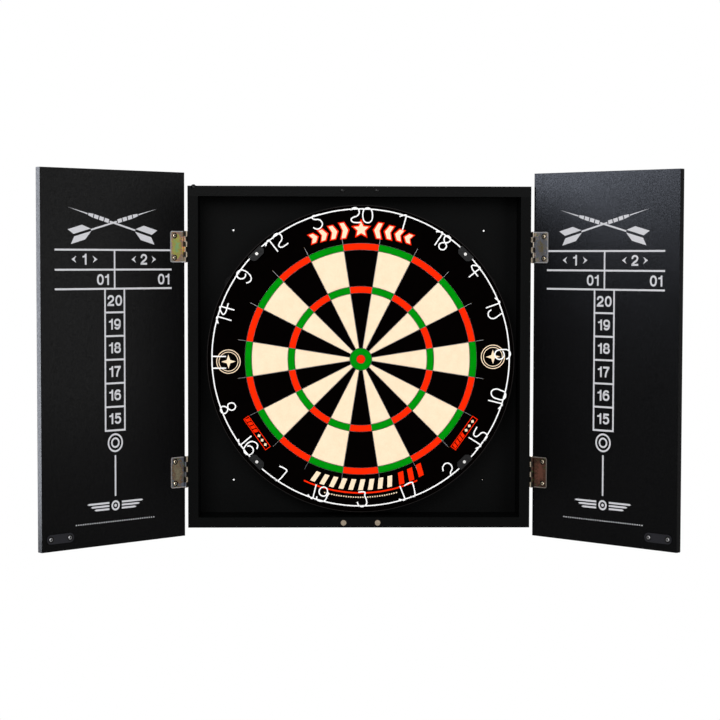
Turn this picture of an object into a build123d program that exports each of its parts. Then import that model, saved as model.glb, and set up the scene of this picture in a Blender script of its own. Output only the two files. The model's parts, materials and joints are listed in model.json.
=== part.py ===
from build123d import *
import math
import os

# A wall-hung dart board cabinet with two hinged doors and a blade-wired bristle board inside.
# Millimetres. +Z is up, the open front faces -Y, and the wall is the plane y = 0.
# The origin is the middle of the four wall screw holes, on the wall.

# Bristle board, from the bull outwards
bull_radius = 6.5
outer_bull_radius = 16.2
inner_bed_length = 80.8
outer_bed_length = 53.0
scoring_ring_width = 10.0
number_field_width = 55.5
sector_count = 20
board_thickness = 38.0
backing_thickness = 6.0
band_thickness = 0.8
bed_depth = 4.0
bed_clearance = 0.1

# Blade wires between the beds
blade_thickness = 0.8
blade_proud = 1.2
blade_tail = 14.0

# Wire number ring and its clips
number_order = (20, 1, 18, 4, 13, 6, 10, 15, 2, 17, 3, 19, 7, 16, 8, 11, 14, 9, 12, 5)
upright_numbers = (10, 15, 2, 17, 3, 19, 7, 16, 8)
number_ring_inset = 7.5
number_ring_lift = 1.8
number_ring_turn = 1.0
wire_width = 2.0
wire_depth = 2.0
digit_height = 21.0
digit_width = 12.0
digit_pitch = 16.5
digit_overlap = 0.3
bowl_share = 0.31
lower_loop_share = 0.265
flag_reach_share = 0.3
flag_drop_share = 0.14
four_bar_share = 0.3
four_stem_share = 0.175
seven_foot_share = 0.15
bowl_end_angle = -140.0
shoulder_angle = 125.0
tail_end_angle = 112.0
clip_count = 4
clip_length = 24.0
clip_reach = 12.0
clip_height = 5.0
clip_chamfer = 4.0
clip_rib_width = 1.5
clip_rib_count = 6
clip_clearance = 0.3
clip_pin_radius = 1.2
clip_pin_head_radius = 2.2
clip_pin_head_height = 0.8
clip_pin_depth = 20.0

# Hanging screw, its bracket and the levelling wheels behind the board
neck_radius = 3.0
neck_clearance = 0.05
neck_depth = 24.0
hanger_head_radius = 6.0
hanger_head_thickness = 1.8
hanger_head_gap = 0.4
bracket_thickness = 1.5
bracket_standoff = 5.5
bracket_bridge_width = 44.0
bracket_foot_width = 15.0
bracket_above_board_axis = 20.0
bracket_below_board_axis = 14.0
bracket_screw_spacing = 20.0
wheel_radius = 13.0
wheel_thickness = 6.0
wheel_overhang = 5.5
wheel_panel_gap = 0.6
wheel_board_gap = 0.3
wheel_angles = (60.0, 180.0, 300.0)
wheel_ridge_count = 24
wheel_notch_radius = 0.9
wheel_hub_radius = 5.0
stud_radius = 2.0
stud_clearance = 0.05
stud_head_radius = 4.0
stud_head_thickness = 1.0
stud_head_clearance = 0.3
stud_depth = 18.0

# Carcass: the board, its room and the walls give the outside sizes
wall = 15.0
back_thickness = 5.0
back_rebate = 6.0
back_clearance = 0.2
board_side_room = 9.5
board_top_room = 9.0
board_back_gap = 8.0
board_face_recess = 14.0
board_x = 2.5
board_z = -3.0
wall_hole_spacing = 372.0
wall_hole_radius = 2.5
dowel_radius = 3.0
dowel_length = 30.0
dowel_in_rail = 10.0
dowel_pitch = 32.0
dowel_clearance = 0.05

# Doors
door_thickness = 12.0
door_clearance = 0.8
door_meeting_gap = 2.0
door_top_overhang = 19.0
door_bottom_overhang = 12.0
door_edge_radius = 4.0
left_door_opening = 137.3
right_door_opening = 136.0

# Butt hinges
hinge_height = 45.0
leaf_reach = 26.5
leaf_thickness = 1.2
leaf_corner_radius = 3.0
knuckle_radius = 2.5
knuckle_count = 6
knuckle_clearance = 0.3
door_first_knuckle = {"left": 0, "right": 1}
hinge_pin_radius = 1.25
hinge_pin_clearance = 0.05
hinge_pin_head_radius = 2.0
hinge_pin_head_height = 0.5
upper_hinge_drop = 88.5
lower_hinge_rise = 82.0
leaf_screw_reach = 18.7
leaf_screw_spacing = 32.0

# Door magnets, strike plates and bumpers
magnet_radius = 4.0
magnet_depth = 6.0
magnet_clearance = 0.05
magnet_x = 25.0
magnet_shift = 2.3
magnet_rise = 7.0
strike_length = 45.0
strike_height = 13.0
strike_thickness = 1.2
strike_shift = 6.5
strike_drop = 1.8
strike_screw_spacing = 32.0
bumper_radius = 4.4
bumper_clearance = 0.4
bumper_drop = 6.4
corner_bumper_radius = 3.8
corner_bumper_inset = 8.7
corner_bumper_drop = 1.8

# Screws
hinge_screw_head = 3.4
hinge_screw_shank = 1.6
hinge_screw_length = 10.0
small_screw_head = 2.6
small_screw_shank = 1.2
back_screw_length = 14.0
bracket_screw_length = 4.5
back_screw_pitch = 240.0
screw_tip = 2.0
screw_rim = 0.2
screw_clearance = 0.05
cut_lead = 1.0

# Sizes that follow from the ones above
treble_inner_radius = outer_bull_radius + inner_bed_length
treble_radius = treble_inner_radius + scoring_ring_width
double_inner_radius = treble_radius + outer_bed_length
double_radius = double_inner_radius + scoring_ring_width
board_radius = double_radius + number_field_width
board_diameter = 2 * board_radius
disc_radius = board_radius - band_thickness - bed_clearance
blade_end_radius = double_radius + blade_tail
sector_angle = 360.0 / sector_count
number_ring_radius = board_radius - number_ring_inset
wheel_circle_radius = board_radius + wheel_overhang - wheel_radius

cabinet_width = board_diameter + 2 * board_side_room + 2 * wall
cabinet_height = board_diameter + 2 * board_top_room + 2 * wall
cabinet_depth = back_thickness + board_back_gap + board_thickness + board_face_recess
inner_width = cabinet_width - 2 * wall
inner_height = cabinet_height - 2 * wall
front_y = -cabinet_depth
panel_y = -back_thickness
board_back_y = panel_y - board_back_gap
board_face_y = board_back_y - board_thickness
bed_floor_y = board_face_y + bed_depth

hinge_offset = knuckle_radius + knuckle_clearance
door_gap = leaf_thickness + door_clearance
door_inner_y = front_y - door_gap
hinge_x = -cabinet_width / 2 - hinge_offset
hinge_y = door_inner_y + hinge_offset
door_width = -hinge_x - door_meeting_gap / 2
door_height = cabinet_height + door_top_overhang + door_bottom_overhang
door_centre_z = (door_top_overhang - door_bottom_overhang) / 2
hinge_heights = {
    "upper": cabinet_height / 2 - upper_hinge_drop,
    "lower": -cabinet_height / 2 + lower_hinge_rise,
}
bumper_height = door_gap - bumper_clearance
magnet_z = -cabinet_height / 2 + magnet_rise


def save(name, *solids):
    """Writes one node, of one solid or of several that share a name."""
    shape = solids[0] if len(solids) == 1 else Compound(children=list(solids))
    export_step(shape, os.path.join("parts", name + ".step"))


def facing_front(x, y, z):
    """A plane that looks out of the cabinet, with its sketch axes along X and Z."""
    return Plane(origin=(x, y, z), x_dir=(1, 0, 0), z_dir=(0, -1, 0))


def facing_back(x, y, z):
    """A plane that looks at the wall, with its sketch axes along -X and Z."""
    return Plane(origin=(x, y, z), x_dir=(-1, 0, 0), z_dir=(0, 1, 0))


def on_board(y):
    """The board's own sketch plane at depth y, centred on the hanging screw."""
    return facing_front(board_x, y, board_z)


def annulus(inner, outer):
    return Circle(outer) - Circle(inner)


def countersunk_screw(head, shank, length, room=0.0, lead=0.0):
    """A screw down -Z with its flat head at z = 0. With room and lead it is the hole for that screw."""
    cone_end = -screw_rim - (head - shank)
    profile = Polyline(
        (0, lead),
        (head + room, lead),
        (head + room, -screw_rim),
        (shank + room, cone_end),
        (shank + room, screw_tip - length),
        (0, -length - room),
        close=True,
    )
    return revolve(Plane.XZ * make_face(profile), axis=Axis.Z)


def hinge_screw(room=0.0, lead=0.0):
    return countersunk_screw(hinge_screw_head, hinge_screw_shank, hinge_screw_length, room, lead)


def small_screw(length, room=0.0, lead=0.0):
    return countersunk_screw(small_screw_head, small_screw_shank, length, room, lead)


# Carcass: two full-width rails with the sides between them, rebated for the back panel
def carcass_walls():
    panel_room = Pos(0, panel_y / 2, 0) * Box(
        inner_width + 2 * back_rebate + 2 * back_clearance,
        back_thickness,
        inner_height + 2 * back_rebate + 2 * back_clearance,
    )
    middle_y = front_y / 2
    rail = Box(cabinet_width, cabinet_depth, wall)
    side = Box(wall, cabinet_depth, inner_height)
    rail_z = (cabinet_height - wall) / 2
    side_x = (cabinet_width - wall) / 2
    walls = {
        "top_rail": Pos(0, middle_y, rail_z) * rail,
        "bottom_rail": Pos(0, middle_y, -rail_z) * rail,
        "left_side": Pos(-side_x, middle_y, 0) * side,
        "right_side": Pos(side_x, middle_y, 0) * side,
    }
    return {name: solid - panel_room for name, solid in walls.items()}


def corner_dowels(room=0.0):
    dowel = Cylinder(dowel_radius + room, dowel_length + 2 * room)
    middle_z = inner_height / 2 + dowel_in_rail - dowel_length / 2
    middle_x = (cabinet_width - wall) / 2
    places = [
        (x, front_y / 2 + y, z)
        for x in (-middle_x, middle_x)
        for y in (-dowel_pitch / 2, dowel_pitch / 2)
        for z in (-middle_z, middle_z)
    ]
    return [Pos(*place) * dowel for place in places]


def back_panel():
    panel = Pos(0, panel_y / 2, 0) * Box(
        inner_width + 2 * back_rebate, back_thickness, inner_height + 2 * back_rebate
    )
    hole = Rot(90, 0, 0) * Cylinder(wall_hole_radius, 3 * back_thickness)
    half = wall_hole_spacing / 2
    for x in (-half, half):
        for z in (-half, half):
            panel -= Pos(x, 0, z) * hole
    return panel


def back_panel_screws(room=0.0, lead=0.0):
    """Small screws from behind, along the middle of the rebate on all four sides."""
    screw = small_screw(back_screw_length, room, lead)
    edge_x = (inner_width + back_rebate) / 2
    edge_z = (inner_height + back_rebate) / 2
    along = (-back_screw_pitch / 2, back_screw_pitch / 2)
    places = [(x, z) for x in along for z in (-edge_z, edge_z)]
    places += [(x, z) for x in (-edge_x, edge_x) for z in along]
    return [facing_back(x, 0, z) * screw for x, z in places]


def door_magnets(room=0.0):
    """Disc magnets let into the bottom rail, flush with its front edge."""
    magnet = Cylinder(magnet_radius + room, magnet_depth, align=(Align.CENTER, Align.CENTER, Align.MAX))
    return [facing_front(x, front_y, magnet_z) * magnet for x in (magnet_shift - magnet_x, magnet_shift + magnet_x)]


def bumper(radius, x, z):
    """A domed stick-on bumper on the front edge of the top rail."""
    ball_radius = (radius**2 + bumper_height**2) / (2 * bumper_height)
    arc = ThreePointArc(
        (radius, 0),
        (radius / 2, bumper_height - ball_radius + math.sqrt(ball_radius**2 - radius**2 / 4)),
        (0, bumper_height),
    )
    outline = arc + Polyline((0, bumper_height), (0, 0), (radius, 0))
    dome = revolve(Plane.XZ * make_face(outline), axis=Axis.Z)
    return facing_front(x, front_y, z) * dome


def door_bumpers():
    top_z = cabinet_height / 2
    corner_x = -cabinet_width / 2 + corner_bumper_inset
    return [
        bumper(bumper_radius, -magnet_x, top_z - bumper_drop),
        bumper(bumper_radius, magnet_x, top_z - bumper_drop),
        bumper(corner_bumper_radius, corner_x, top_z - corner_bumper_drop),
    ]


# Hinges: a leaf is drawn about its pin, reaching along +X, with its seat at y = -hinge_offset
def leaf(first_knuckle):
    pitch = hinge_height / knuckle_count
    plate_start = knuckle_radius + knuckle_clearance
    plate_middle = (plate_start + leaf_reach) / 2
    plate = Plane.XZ * Pos(plate_middle, 0) * Rectangle(leaf_reach - plate_start, hinge_height)
    outer = plate.vertices().group_by(Axis.X)[-1]
    plate = fillet(outer, leaf_corner_radius)
    seat_to_face = -hinge_offset + leaf_thickness
    body = Pos(0, seat_to_face, 0) * extrude(plate, amount=leaf_thickness)
    knuckle = Cylinder(knuckle_radius, pitch - knuckle_clearance)
    strap = Pos(plate_start / 2, -hinge_offset + leaf_thickness / 2, 0) * Box(
        plate_start, leaf_thickness, pitch - knuckle_clearance
    )
    for index in range(first_knuckle, knuckle_count, 2):
        z = -hinge_height / 2 + pitch * (index + 0.5)
        body += Pos(0, 0, z) * (knuckle + strap)
    body -= Cylinder(hinge_pin_radius + hinge_pin_clearance, 2 * hinge_height)
    for place in leaf_screw_places():
        body -= place * hinge_screw(screw_clearance, cut_lead)
    return body


def leaf_screw_places():
    face_y = -hinge_offset + leaf_thickness
    half = leaf_screw_spacing / 2
    return [facing_back(leaf_screw_reach, face_y, z) for z in (-half, half)]


def hinge_pin():
    head_z = (hinge_height + hinge_pin_head_height) / 2
    head = Cylinder(hinge_pin_head_radius, hinge_pin_head_height)
    pin = Cylinder(hinge_pin_radius, hinge_height)
    return pin + Pos(0, 0, head_z) * head + Pos(0, 0, -head_z) * head


def hinge_axis(z):
    return Pos(hinge_x, hinge_y, z)


def onto_side(shape):
    """Turns a leaf or its screws from the door's face onto the outside of the cabinet's side."""
    return Rot(0, 0, 90) * shape


# Doors: drawn shut on the left, mirrored for the right, and swung open about the pins
def door_leaf_screws(room=0.0, lead=0.0):
    screw = hinge_screw(room, lead)
    return [
        hinge_axis(z) * (place * screw)
        for z in hinge_heights.values()
        for place in leaf_screw_places()
    ]


def frame_leaf_screws(room=0.0, lead=0.0):
    screw = hinge_screw(room, lead)
    return [
        hinge_axis(z) * onto_side(place * screw)
        for z in hinge_heights.values()
        for place in leaf_screw_places()
    ]


def strike_place(x_offset=0.0):
    x = -magnet_x - strike_shift + x_offset
    return facing_back(x, door_inner_y, magnet_z - strike_drop)


def strike_screws(room=0.0, lead=0.0):
    screw = Pos(0, 0, strike_thickness) * hinge_screw(room, lead)
    half = strike_screw_spacing / 2
    return [strike_place(x) * screw for x in (-half, half)]


def strike_plate():
    plate = strike_place() * extrude(SlotOverall(strike_length, strike_height), amount=strike_thickness)
    for hole in strike_screws(screw_clearance, cut_lead):
        plate -= hole
    return plate


def door_panel():
    panel = Box(door_width, door_thickness, door_height)
    outer_edges = panel.faces().sort_by(Axis.Y)[0].edges()
    panel = fillet(outer_edges, door_edge_radius)
    panel = Pos(hinge_x + door_width / 2, door_inner_y - door_thickness / 2, door_centre_z) * panel
    for hole in door_leaf_screws(screw_clearance, cut_lead) + strike_screws(screw_clearance, cut_lead):
        panel -= hole
    return panel


def door_pieces(side):
    pieces = {
        "door_panel": [door_panel()],
        "door_hinge_screws": door_leaf_screws(),
        "strike_plate": [strike_plate()],
        "strike_screws": strike_screws(),
    }
    for level, z in hinge_heights.items():
        pieces[level + "_door_leaf"] = [hinge_axis(z) * leaf(door_first_knuckle[side])]
    return pieces


def swung(shape, side):
    """Places a shut left door's piece on its own side, open as far as it stands at rest."""
    if side == "left":
        return shape.rotate(Axis((hinge_x, hinge_y, 0), (0, 0, 1)), -left_door_opening)
    mirrored = mirror(shape, about=Plane.YZ)
    return mirrored.rotate(Axis((-hinge_x, hinge_y, 0), (0, 0, 1)), right_door_opening)


# Board: every bed is a sector of a ring between the blades, drawn flat and raised from the core
def blade_strips(width, inner, outer):
    length = outer - inner
    strip = Pos(0, inner + length / 2) * Rectangle(width, length)
    return [Rot(0, 0, sector_angle * (index + 0.5)) * strip for index in range(sector_count)]


def ring_of_beds(inner, outer):
    """Beds of one ring by sector, counted clockwise from the top, clear of the blades round them."""
    room = blade_thickness / 2 + bed_clearance
    ring = annulus(inner + room, outer - room)
    ring -= blade_strips(2 * room, 0, board_radius)
    beds = {}
    for face in ring.faces():
        middle = face.center()
        sector = round(math.degrees(math.atan2(middle.X, middle.Y)) / sector_angle) % sector_count
        beds[sector] = extrude(on_board(bed_floor_y) * face, amount=bed_depth)
    return beds


def beds_by_colour():
    singles = [
        ring_of_beds(outer_bull_radius, treble_inner_radius),
        ring_of_beds(treble_radius, double_inner_radius),
    ]
    scoring = [
        ring_of_beds(treble_inner_radius, treble_radius),
        ring_of_beds(double_inner_radius, double_radius),
    ]
    groups = {"black_beds": [], "cream_beds": [], "red_beds": [], "green_beds": []}
    for sector in range(sector_count):
        odd = sector % 2
        groups["cream_beds" if odd else "black_beds"] += [ring[sector] for ring in singles]
        groups["green_beds" if odd else "red_beds"] += [ring[sector] for ring in scoring]
    return groups


def bull_beds():
    room = blade_thickness / 2 + bed_clearance
    bull = Circle(bull_radius - room)
    outer_bull = annulus(bull_radius + room, outer_bull_radius - room)
    return [extrude(on_board(bed_floor_y) * bed, amount=bed_depth) for bed in (bull, outer_bull)]


def number_field():
    """The black surround outside the double ring, slotted for the blades' tails."""
    room = blade_thickness / 2 + bed_clearance
    field = annulus(double_radius + room, disc_radius)
    field -= blade_strips(2 * room, double_radius, blade_end_radius + bed_clearance)
    solid = extrude(on_board(bed_floor_y) * field, amount=bed_depth)
    for hole in clip_pins(screw_clearance, cut_lead):
        solid -= hole
    return solid


def spider():
    """The blade wires: radial blades joined by the ring wires, and the bull's own ring."""
    half = blade_thickness / 2
    wires = annulus(outer_bull_radius - half, outer_bull_radius + half)
    for radius in (treble_inner_radius, treble_radius, double_inner_radius, double_radius):
        wires += annulus(radius - half, radius + half)
    wires += blade_strips(blade_thickness, outer_bull_radius, blade_end_radius)
    bull_wire = annulus(bull_radius - half, bull_radius + half)
    height = bed_depth + blade_proud
    return [extrude(on_board(bed_floor_y) * flat, amount=height) for flat in (wires, bull_wire)]


def wire_bar(start, end):
    """A straight stretch of wire with round ends."""
    along = Vector(*end) - Vector(*start)
    middle = (Vector(*start) + Vector(*end)) / 2
    turn = math.degrees(math.atan2(along.Y, along.X))
    return Pos(middle.X, middle.Y) * Rot(0, 0, turn) * SlotCenterToCenter(along.length, wire_width)


def wire_bars(*points):
    return [wire_bar(start, end) for start, end in zip(points, points[1:])]


def wire_bend(centre, radius, start, sweep):
    """A bent stretch of wire with round ends, from one angle through a sweep in degrees."""
    return SlotArc(CenterArc(centre, radius, start, sweep), wire_width)


def wire_loop(centre, radius):
    return Pos(*centre) * annulus(radius - wire_width / 2, radius + wire_width / 2)


def digit_wires(digit):
    """The stretches of wire of one digit, standing on y = 0 and centred on x = 0."""
    half = digit_width / 2
    high = digit_height
    bowl = bowl_share * high
    if digit == 0:
        top = high - half
        arcs = [wire_bend((0, top), half, 0, 180), wire_bend((0, half), half, 180, 180)]
        return arcs + [wire_bar((x, half), (x, top)) for x in (-half, half)]
    if digit == 1:
        flag = (-flag_reach_share * digit_width, high - flag_drop_share * high)
        return wire_bars(flag, (0, high), (0, 0))
    if digit == 2:
        turn = high - half
        return [wire_bend((0, turn), half, 0, 180)] + wire_bars((half, turn), (-half, 0), (half, 0))
    if digit == 3:
        bars = wire_bars((-half, high), (half, high), (0, 2 * bowl))
        return bars + [wire_bend((0, bowl), bowl, bowl_end_angle, 90 - bowl_end_angle)]
    if digit == 4:
        bar = four_bar_share * high
        stem = four_stem_share * digit_width
        return wire_bars((stem, 0), (stem, high), (-half, bar), (half, bar))
    if digit == 5:
        x = bowl * math.cos(math.radians(shoulder_angle))
        y = bowl + bowl * math.sin(math.radians(shoulder_angle))
        bars = wire_bars((x, y), (x, high), (half, high))
        return bars + [wire_bend((0, bowl), bowl, bowl_end_angle, shoulder_angle - bowl_end_angle)]
    if digit in (6, 9):
        reach = high - bowl
        tail = wire_bend((reach - bowl, bowl), reach, tail_end_angle, 180 - tail_end_angle)
        wires = [wire_loop((0, bowl), bowl), tail]
        return wires if digit == 6 else [Pos(0, high) * Rot(0, 0, 180) * wire for wire in wires]
    if digit == 7:
        return wire_bars((-half, high), (half, high), (-seven_foot_share * digit_width, 0))
    lower = lower_loop_share * high
    upper = high / 2 - lower
    return [wire_loop((0, lower), lower), wire_loop((0, high - upper), upper)]


def on_ring():
    """The number ring's sketch plane on the board's face. The ring sits a little above the board's axis."""
    return on_board(board_face_y) * Pos(0, number_ring_lift)


def number_ring():
    """The wire ring with its wire numbers, welded on at their outer ends."""
    wires = []
    for place, number in enumerate(number_order):
        turned = number in upright_numbers
        base = number_ring_radius - digit_overlap
        base = Pos(0, base) * Rot(0, 0, 180) if turned else Pos(0, base - digit_height)
        digits = [int(letter) for letter in str(number)]
        for index, digit in enumerate(digits):
            along = digit_pitch * (index - (len(digits) - 1) / 2)
            spot = Rot(0, 0, number_ring_turn - sector_angle * place) * base * Pos(along, 0)
            wires += [spot * wire for wire in digit_wires(digit)]
    flat = wire_loop((0, 0), number_ring_radius) + wires
    return extrude(on_ring() * flat, amount=wire_depth)


def clip_places():
    step = 360.0 / clip_count
    return [Rot(0, 0, step * (index + 0.5)) * Pos(0, number_ring_radius) for index in range(clip_count)]


def clip_pins(room=0.0, lead=0.0):
    """Flat-headed pins just inside the wire that hold the clips, driven into the core."""
    inset = wire_width / 2 + clip_clearance + clip_pin_radius
    shank = Pos(0, 0, -clip_pin_depth) * extrude(
        Circle(clip_pin_radius + room), amount=clip_pin_depth + clip_height + lead
    )
    head = Pos(0, 0, clip_height) * extrude(Circle(clip_pin_head_radius), amount=clip_pin_head_height)
    pin = Pos(0, -inset, 0) * (shank if room else shank + head)
    return [on_ring() * place * pin for place in clip_places()]


def ring_clips():
    """Moulded clips that straddle the number ring, chamfered inside and ribbed outside."""
    half = clip_length / 2
    outline = Rectangle(clip_length, clip_reach)
    inner_corners = outline.vertices().group_by(Axis.Y)[0]
    outline = chamfer(inner_corners, clip_chamfer)
    body = Pos(0, -clip_reach / 4) * outline
    solid = extrude(body, amount=clip_height)
    rib = Pos(0, clip_reach / 4, clip_height) * Box(clip_rib_width, clip_reach / 2, clip_rib_width)
    rib_step = clip_length / clip_rib_count
    for index in range(clip_rib_count):
        solid -= Pos(-half + rib_step * (index + 0.5), 0, 0) * rib
    groove_half = wire_width / 2 + clip_clearance
    groove = annulus(number_ring_radius - groove_half, number_ring_radius + groove_half)
    groove = extrude(on_ring() * groove, amount=wire_depth + clip_clearance)
    clips = [on_ring() * place * solid - groove for place in clip_places()]
    return [clip - hole for clip, hole in zip(clips, clip_pins(screw_clearance, cut_lead))]


def board_disc(y, thickness):
    return extrude(on_board(y) * Circle(disc_radius), amount=thickness)


def steel_band():
    band = annulus(board_radius - band_thickness, board_radius)
    return extrude(on_board(board_back_y) * band, amount=board_thickness)


# Behind the board: hanging screw in its bracket, and three levelling wheels on studs
def hanging_screw(room=0.0):
    bridge_back_y = panel_y - bracket_standoff + bracket_thickness
    head_y = bridge_back_y + hanger_head_gap + hanger_head_thickness
    neck_length = head_y - board_back_y + neck_depth
    neck = extrude(on_board(head_y) * Circle(neck_radius + room), amount=neck_length + room)
    head = extrude(on_board(head_y) * Circle(hanger_head_radius), amount=hanger_head_thickness)
    return neck if room else neck + head


def board_bracket():
    """A bent strap screwed to the back panel, with an open slot that takes the hanging screw."""
    inner = bracket_bridge_width - 2 * bracket_thickness
    bridge = Pos(0, -bracket_standoff / 2) * Rectangle(bracket_bridge_width, bracket_standoff)
    hollow = Pos(0, (bracket_thickness - bracket_standoff) / 2) * Rectangle(
        inner, bracket_standoff - bracket_thickness
    )
    foot_x = (bracket_bridge_width + bracket_foot_width) / 2 - bracket_thickness
    foot = Rectangle(bracket_foot_width, bracket_thickness)
    section = bridge - hollow
    for x in (-foot_x, foot_x):
        section += Pos(x, -bracket_thickness / 2) * foot
    height = bracket_above_board_axis + bracket_below_board_axis
    strap = Pos(board_x, panel_y, board_z - bracket_below_board_axis) * extrude(section, amount=height)
    slot_radius = neck_radius + neck_clearance
    slot = Circle(slot_radius) + Pos(0, bracket_above_board_axis / 2) * Rectangle(
        2 * slot_radius, bracket_above_board_axis
    )
    strap -= extrude(on_board(panel_y) * slot, amount=2 * bracket_standoff)
    for hole in bracket_screws(screw_clearance, cut_lead):
        strap -= hole
    return strap


def bracket_screws(room=0.0, lead=0.0):
    screw = small_screw(bracket_screw_length, room, lead)
    x = (bracket_bridge_width + bracket_foot_width) / 2
    middle_z = (bracket_above_board_axis - bracket_below_board_axis) / 2
    half = bracket_screw_spacing / 2
    face = on_board(panel_y - bracket_thickness)
    return [face * Pos(side * x, middle_z + z) * screw for side in (-1, 1) for z in (-half, half)]


def wheel_places(y):
    return [
        on_board(y) * Rot(0, 0, -angle) * Pos(0, wheel_circle_radius) for angle in wheel_angles
    ]


def levelling_wheel():
    """A ridged thumb wheel, drawn with its back at z = 0 and its hub towards the board."""
    rim = Circle(wheel_radius)
    rim -= PolarLocations(wheel_radius, wheel_ridge_count) * Circle(wheel_notch_radius)
    hub_height = board_back_gap - wheel_panel_gap - wheel_board_gap
    wheel = extrude(rim, amount=wheel_thickness) + extrude(Circle(wheel_hub_radius), amount=hub_height)
    wheel -= extrude(Circle(stud_radius + stud_clearance), amount=hub_height)
    pocket = Circle(stud_head_radius + stud_head_clearance)
    return wheel - extrude(pocket, amount=stud_head_thickness + 2 * stud_head_clearance)


def wheel_stud(room=0.0):
    """A headed stud through the wheel into the board, drawn from the wheel's back face."""
    length = board_back_gap - wheel_panel_gap - stud_head_clearance + stud_depth
    shank = Pos(0, 0, stud_head_clearance) * extrude(Circle(stud_radius + room), amount=length + room)
    head = Pos(0, 0, stud_head_clearance) * extrude(Circle(stud_head_radius), amount=stud_head_thickness)
    return shank if room else shank + head


def main():
    os.makedirs("parts", exist_ok=True)

    walls = carcass_walls()
    for hole in corner_dowels(dowel_clearance) + back_panel_screws(screw_clearance, cut_lead):
        walls = {name: solid - hole for name, solid in walls.items()}
    for hole in door_magnets(magnet_clearance):
        walls["bottom_rail"] -= hole
    frame_holes = frame_leaf_screws(screw_clearance, cut_lead)
    for hole in frame_holes:
        walls["left_side"] -= hole
        walls["right_side"] -= mirror(hole, about=Plane.YZ)
    for name, solid in walls.items():
        save(name, solid)

    panel = back_panel()
    for hole in back_panel_screws(screw_clearance, cut_lead) + bracket_screws(screw_clearance, cut_lead):
        panel -= hole
    save("back_panel", panel)
    save("corner_dowels", *corner_dowels())
    save("back_panel_screws", *back_panel_screws())
    save("door_magnets", *door_magnets())
    save("door_bumpers", *door_bumpers())

    left_screws = frame_leaf_screws()
    save("frame_hinge_screws", *left_screws, *[mirror(screw, about=Plane.YZ) for screw in left_screws])
    for level, z in hinge_heights.items():
        left_leaf = hinge_axis(z) * onto_side(leaf(1 - door_first_knuckle["left"]))
        right_leaf = hinge_axis(z) * onto_side(leaf(1 - door_first_knuckle["right"]))
        pin = hinge_axis(z) * hinge_pin()
        save(f"left_{level}_frame_leaf", left_leaf)
        save(f"right_{level}_frame_leaf", mirror(right_leaf, about=Plane.YZ))
        save(f"left_{level}_hinge_pin", pin)
        save(f"right_{level}_hinge_pin", mirror(pin, about=Plane.YZ))

    for side in ("left", "right"):
        for name, solids in door_pieces(side).items():
            save(f"{side}_{name}", *[swung(solid, side) for solid in solids])

    for name, solids in beds_by_colour().items():
        save(name, *solids)
    bull, outer_bull = bull_beds()
    save("bull", bull)
    save("outer_bull", outer_bull)
    save("number_field", number_field())
    save("spider", *spider())
    save("number_ring", number_ring())
    save("ring_clips", *ring_clips())
    save("clip_pins", *clip_pins())
    save("steel_band", steel_band())

    core_y = board_back_y - backing_thickness
    core = board_disc(core_y, board_thickness - backing_thickness - bed_depth)
    backing = board_disc(board_back_y, backing_thickness)
    wheel_backs = wheel_places(panel_y - wheel_panel_gap)
    holes = [place * wheel_stud(stud_clearance) for place in wheel_backs]
    for hole in holes + [hanging_screw(neck_clearance)]:
        core -= hole
        backing -= hole
    for hole in clip_pins(screw_clearance):
        core -= hole
    save("sisal_core", core)
    save("backing_board", backing)
    save("hanging_screw", hanging_screw())
    save("board_bracket", board_bracket())
    save("bracket_screws", *bracket_screws())
    save("wheel_studs", *[place * wheel_stud() for place in wheel_backs])
    for name, place in zip(("upper_right", "bottom", "upper_left"), wheel_backs):
        save(f"{name}_levelling_wheel", place * levelling_wheel())


main()
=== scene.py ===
# %% [markdown]
# # Dart board cabinet: the looks
# The cabinet, its doors, hinges and board come from CAD as a fixed frame, one object for each
# real piece. This lesson gives every piece its finish, and adds what CAD leaves plain: the printed
# marks, the sloping sides of the blades, the round wire numbers, the cross heads of the screws and
# the ragged rims of the wall holes. Lengths are metres.

# %% Load the frame
import json
import math

import bmesh
import bpy
from mathutils import Matrix, Vector


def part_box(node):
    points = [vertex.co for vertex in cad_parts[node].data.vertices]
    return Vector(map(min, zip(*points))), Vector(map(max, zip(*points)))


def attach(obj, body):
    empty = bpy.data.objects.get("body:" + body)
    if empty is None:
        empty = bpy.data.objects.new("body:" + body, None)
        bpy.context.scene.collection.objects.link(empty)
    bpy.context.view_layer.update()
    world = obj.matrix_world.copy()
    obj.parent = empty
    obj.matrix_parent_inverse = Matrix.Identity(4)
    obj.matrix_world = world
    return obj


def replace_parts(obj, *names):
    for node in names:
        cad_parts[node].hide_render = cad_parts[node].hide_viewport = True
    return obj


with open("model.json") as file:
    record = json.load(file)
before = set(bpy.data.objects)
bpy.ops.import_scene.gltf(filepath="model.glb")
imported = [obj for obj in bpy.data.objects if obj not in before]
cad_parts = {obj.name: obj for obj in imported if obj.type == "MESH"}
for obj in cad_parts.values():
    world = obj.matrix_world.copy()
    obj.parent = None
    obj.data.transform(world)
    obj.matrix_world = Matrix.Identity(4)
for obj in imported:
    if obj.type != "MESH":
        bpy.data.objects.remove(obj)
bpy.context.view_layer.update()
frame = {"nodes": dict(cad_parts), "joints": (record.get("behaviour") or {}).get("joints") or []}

nodes = frame["nodes"]
joints = {joint["name"]: joint for joint in frame["joints"]}
mm, same_place = 0.001, 1e-7
sides, levels = ("left", "right"), ("upper", "lower")
hands = {"left": -1, "right": 1}
scene = bpy.context.scene
scene.view_settings.view_transform = "Standard"


def add_object(name, data):
    made = bpy.data.objects.new(name, data)
    scene.collection.objects.link(made)
    return made


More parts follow.
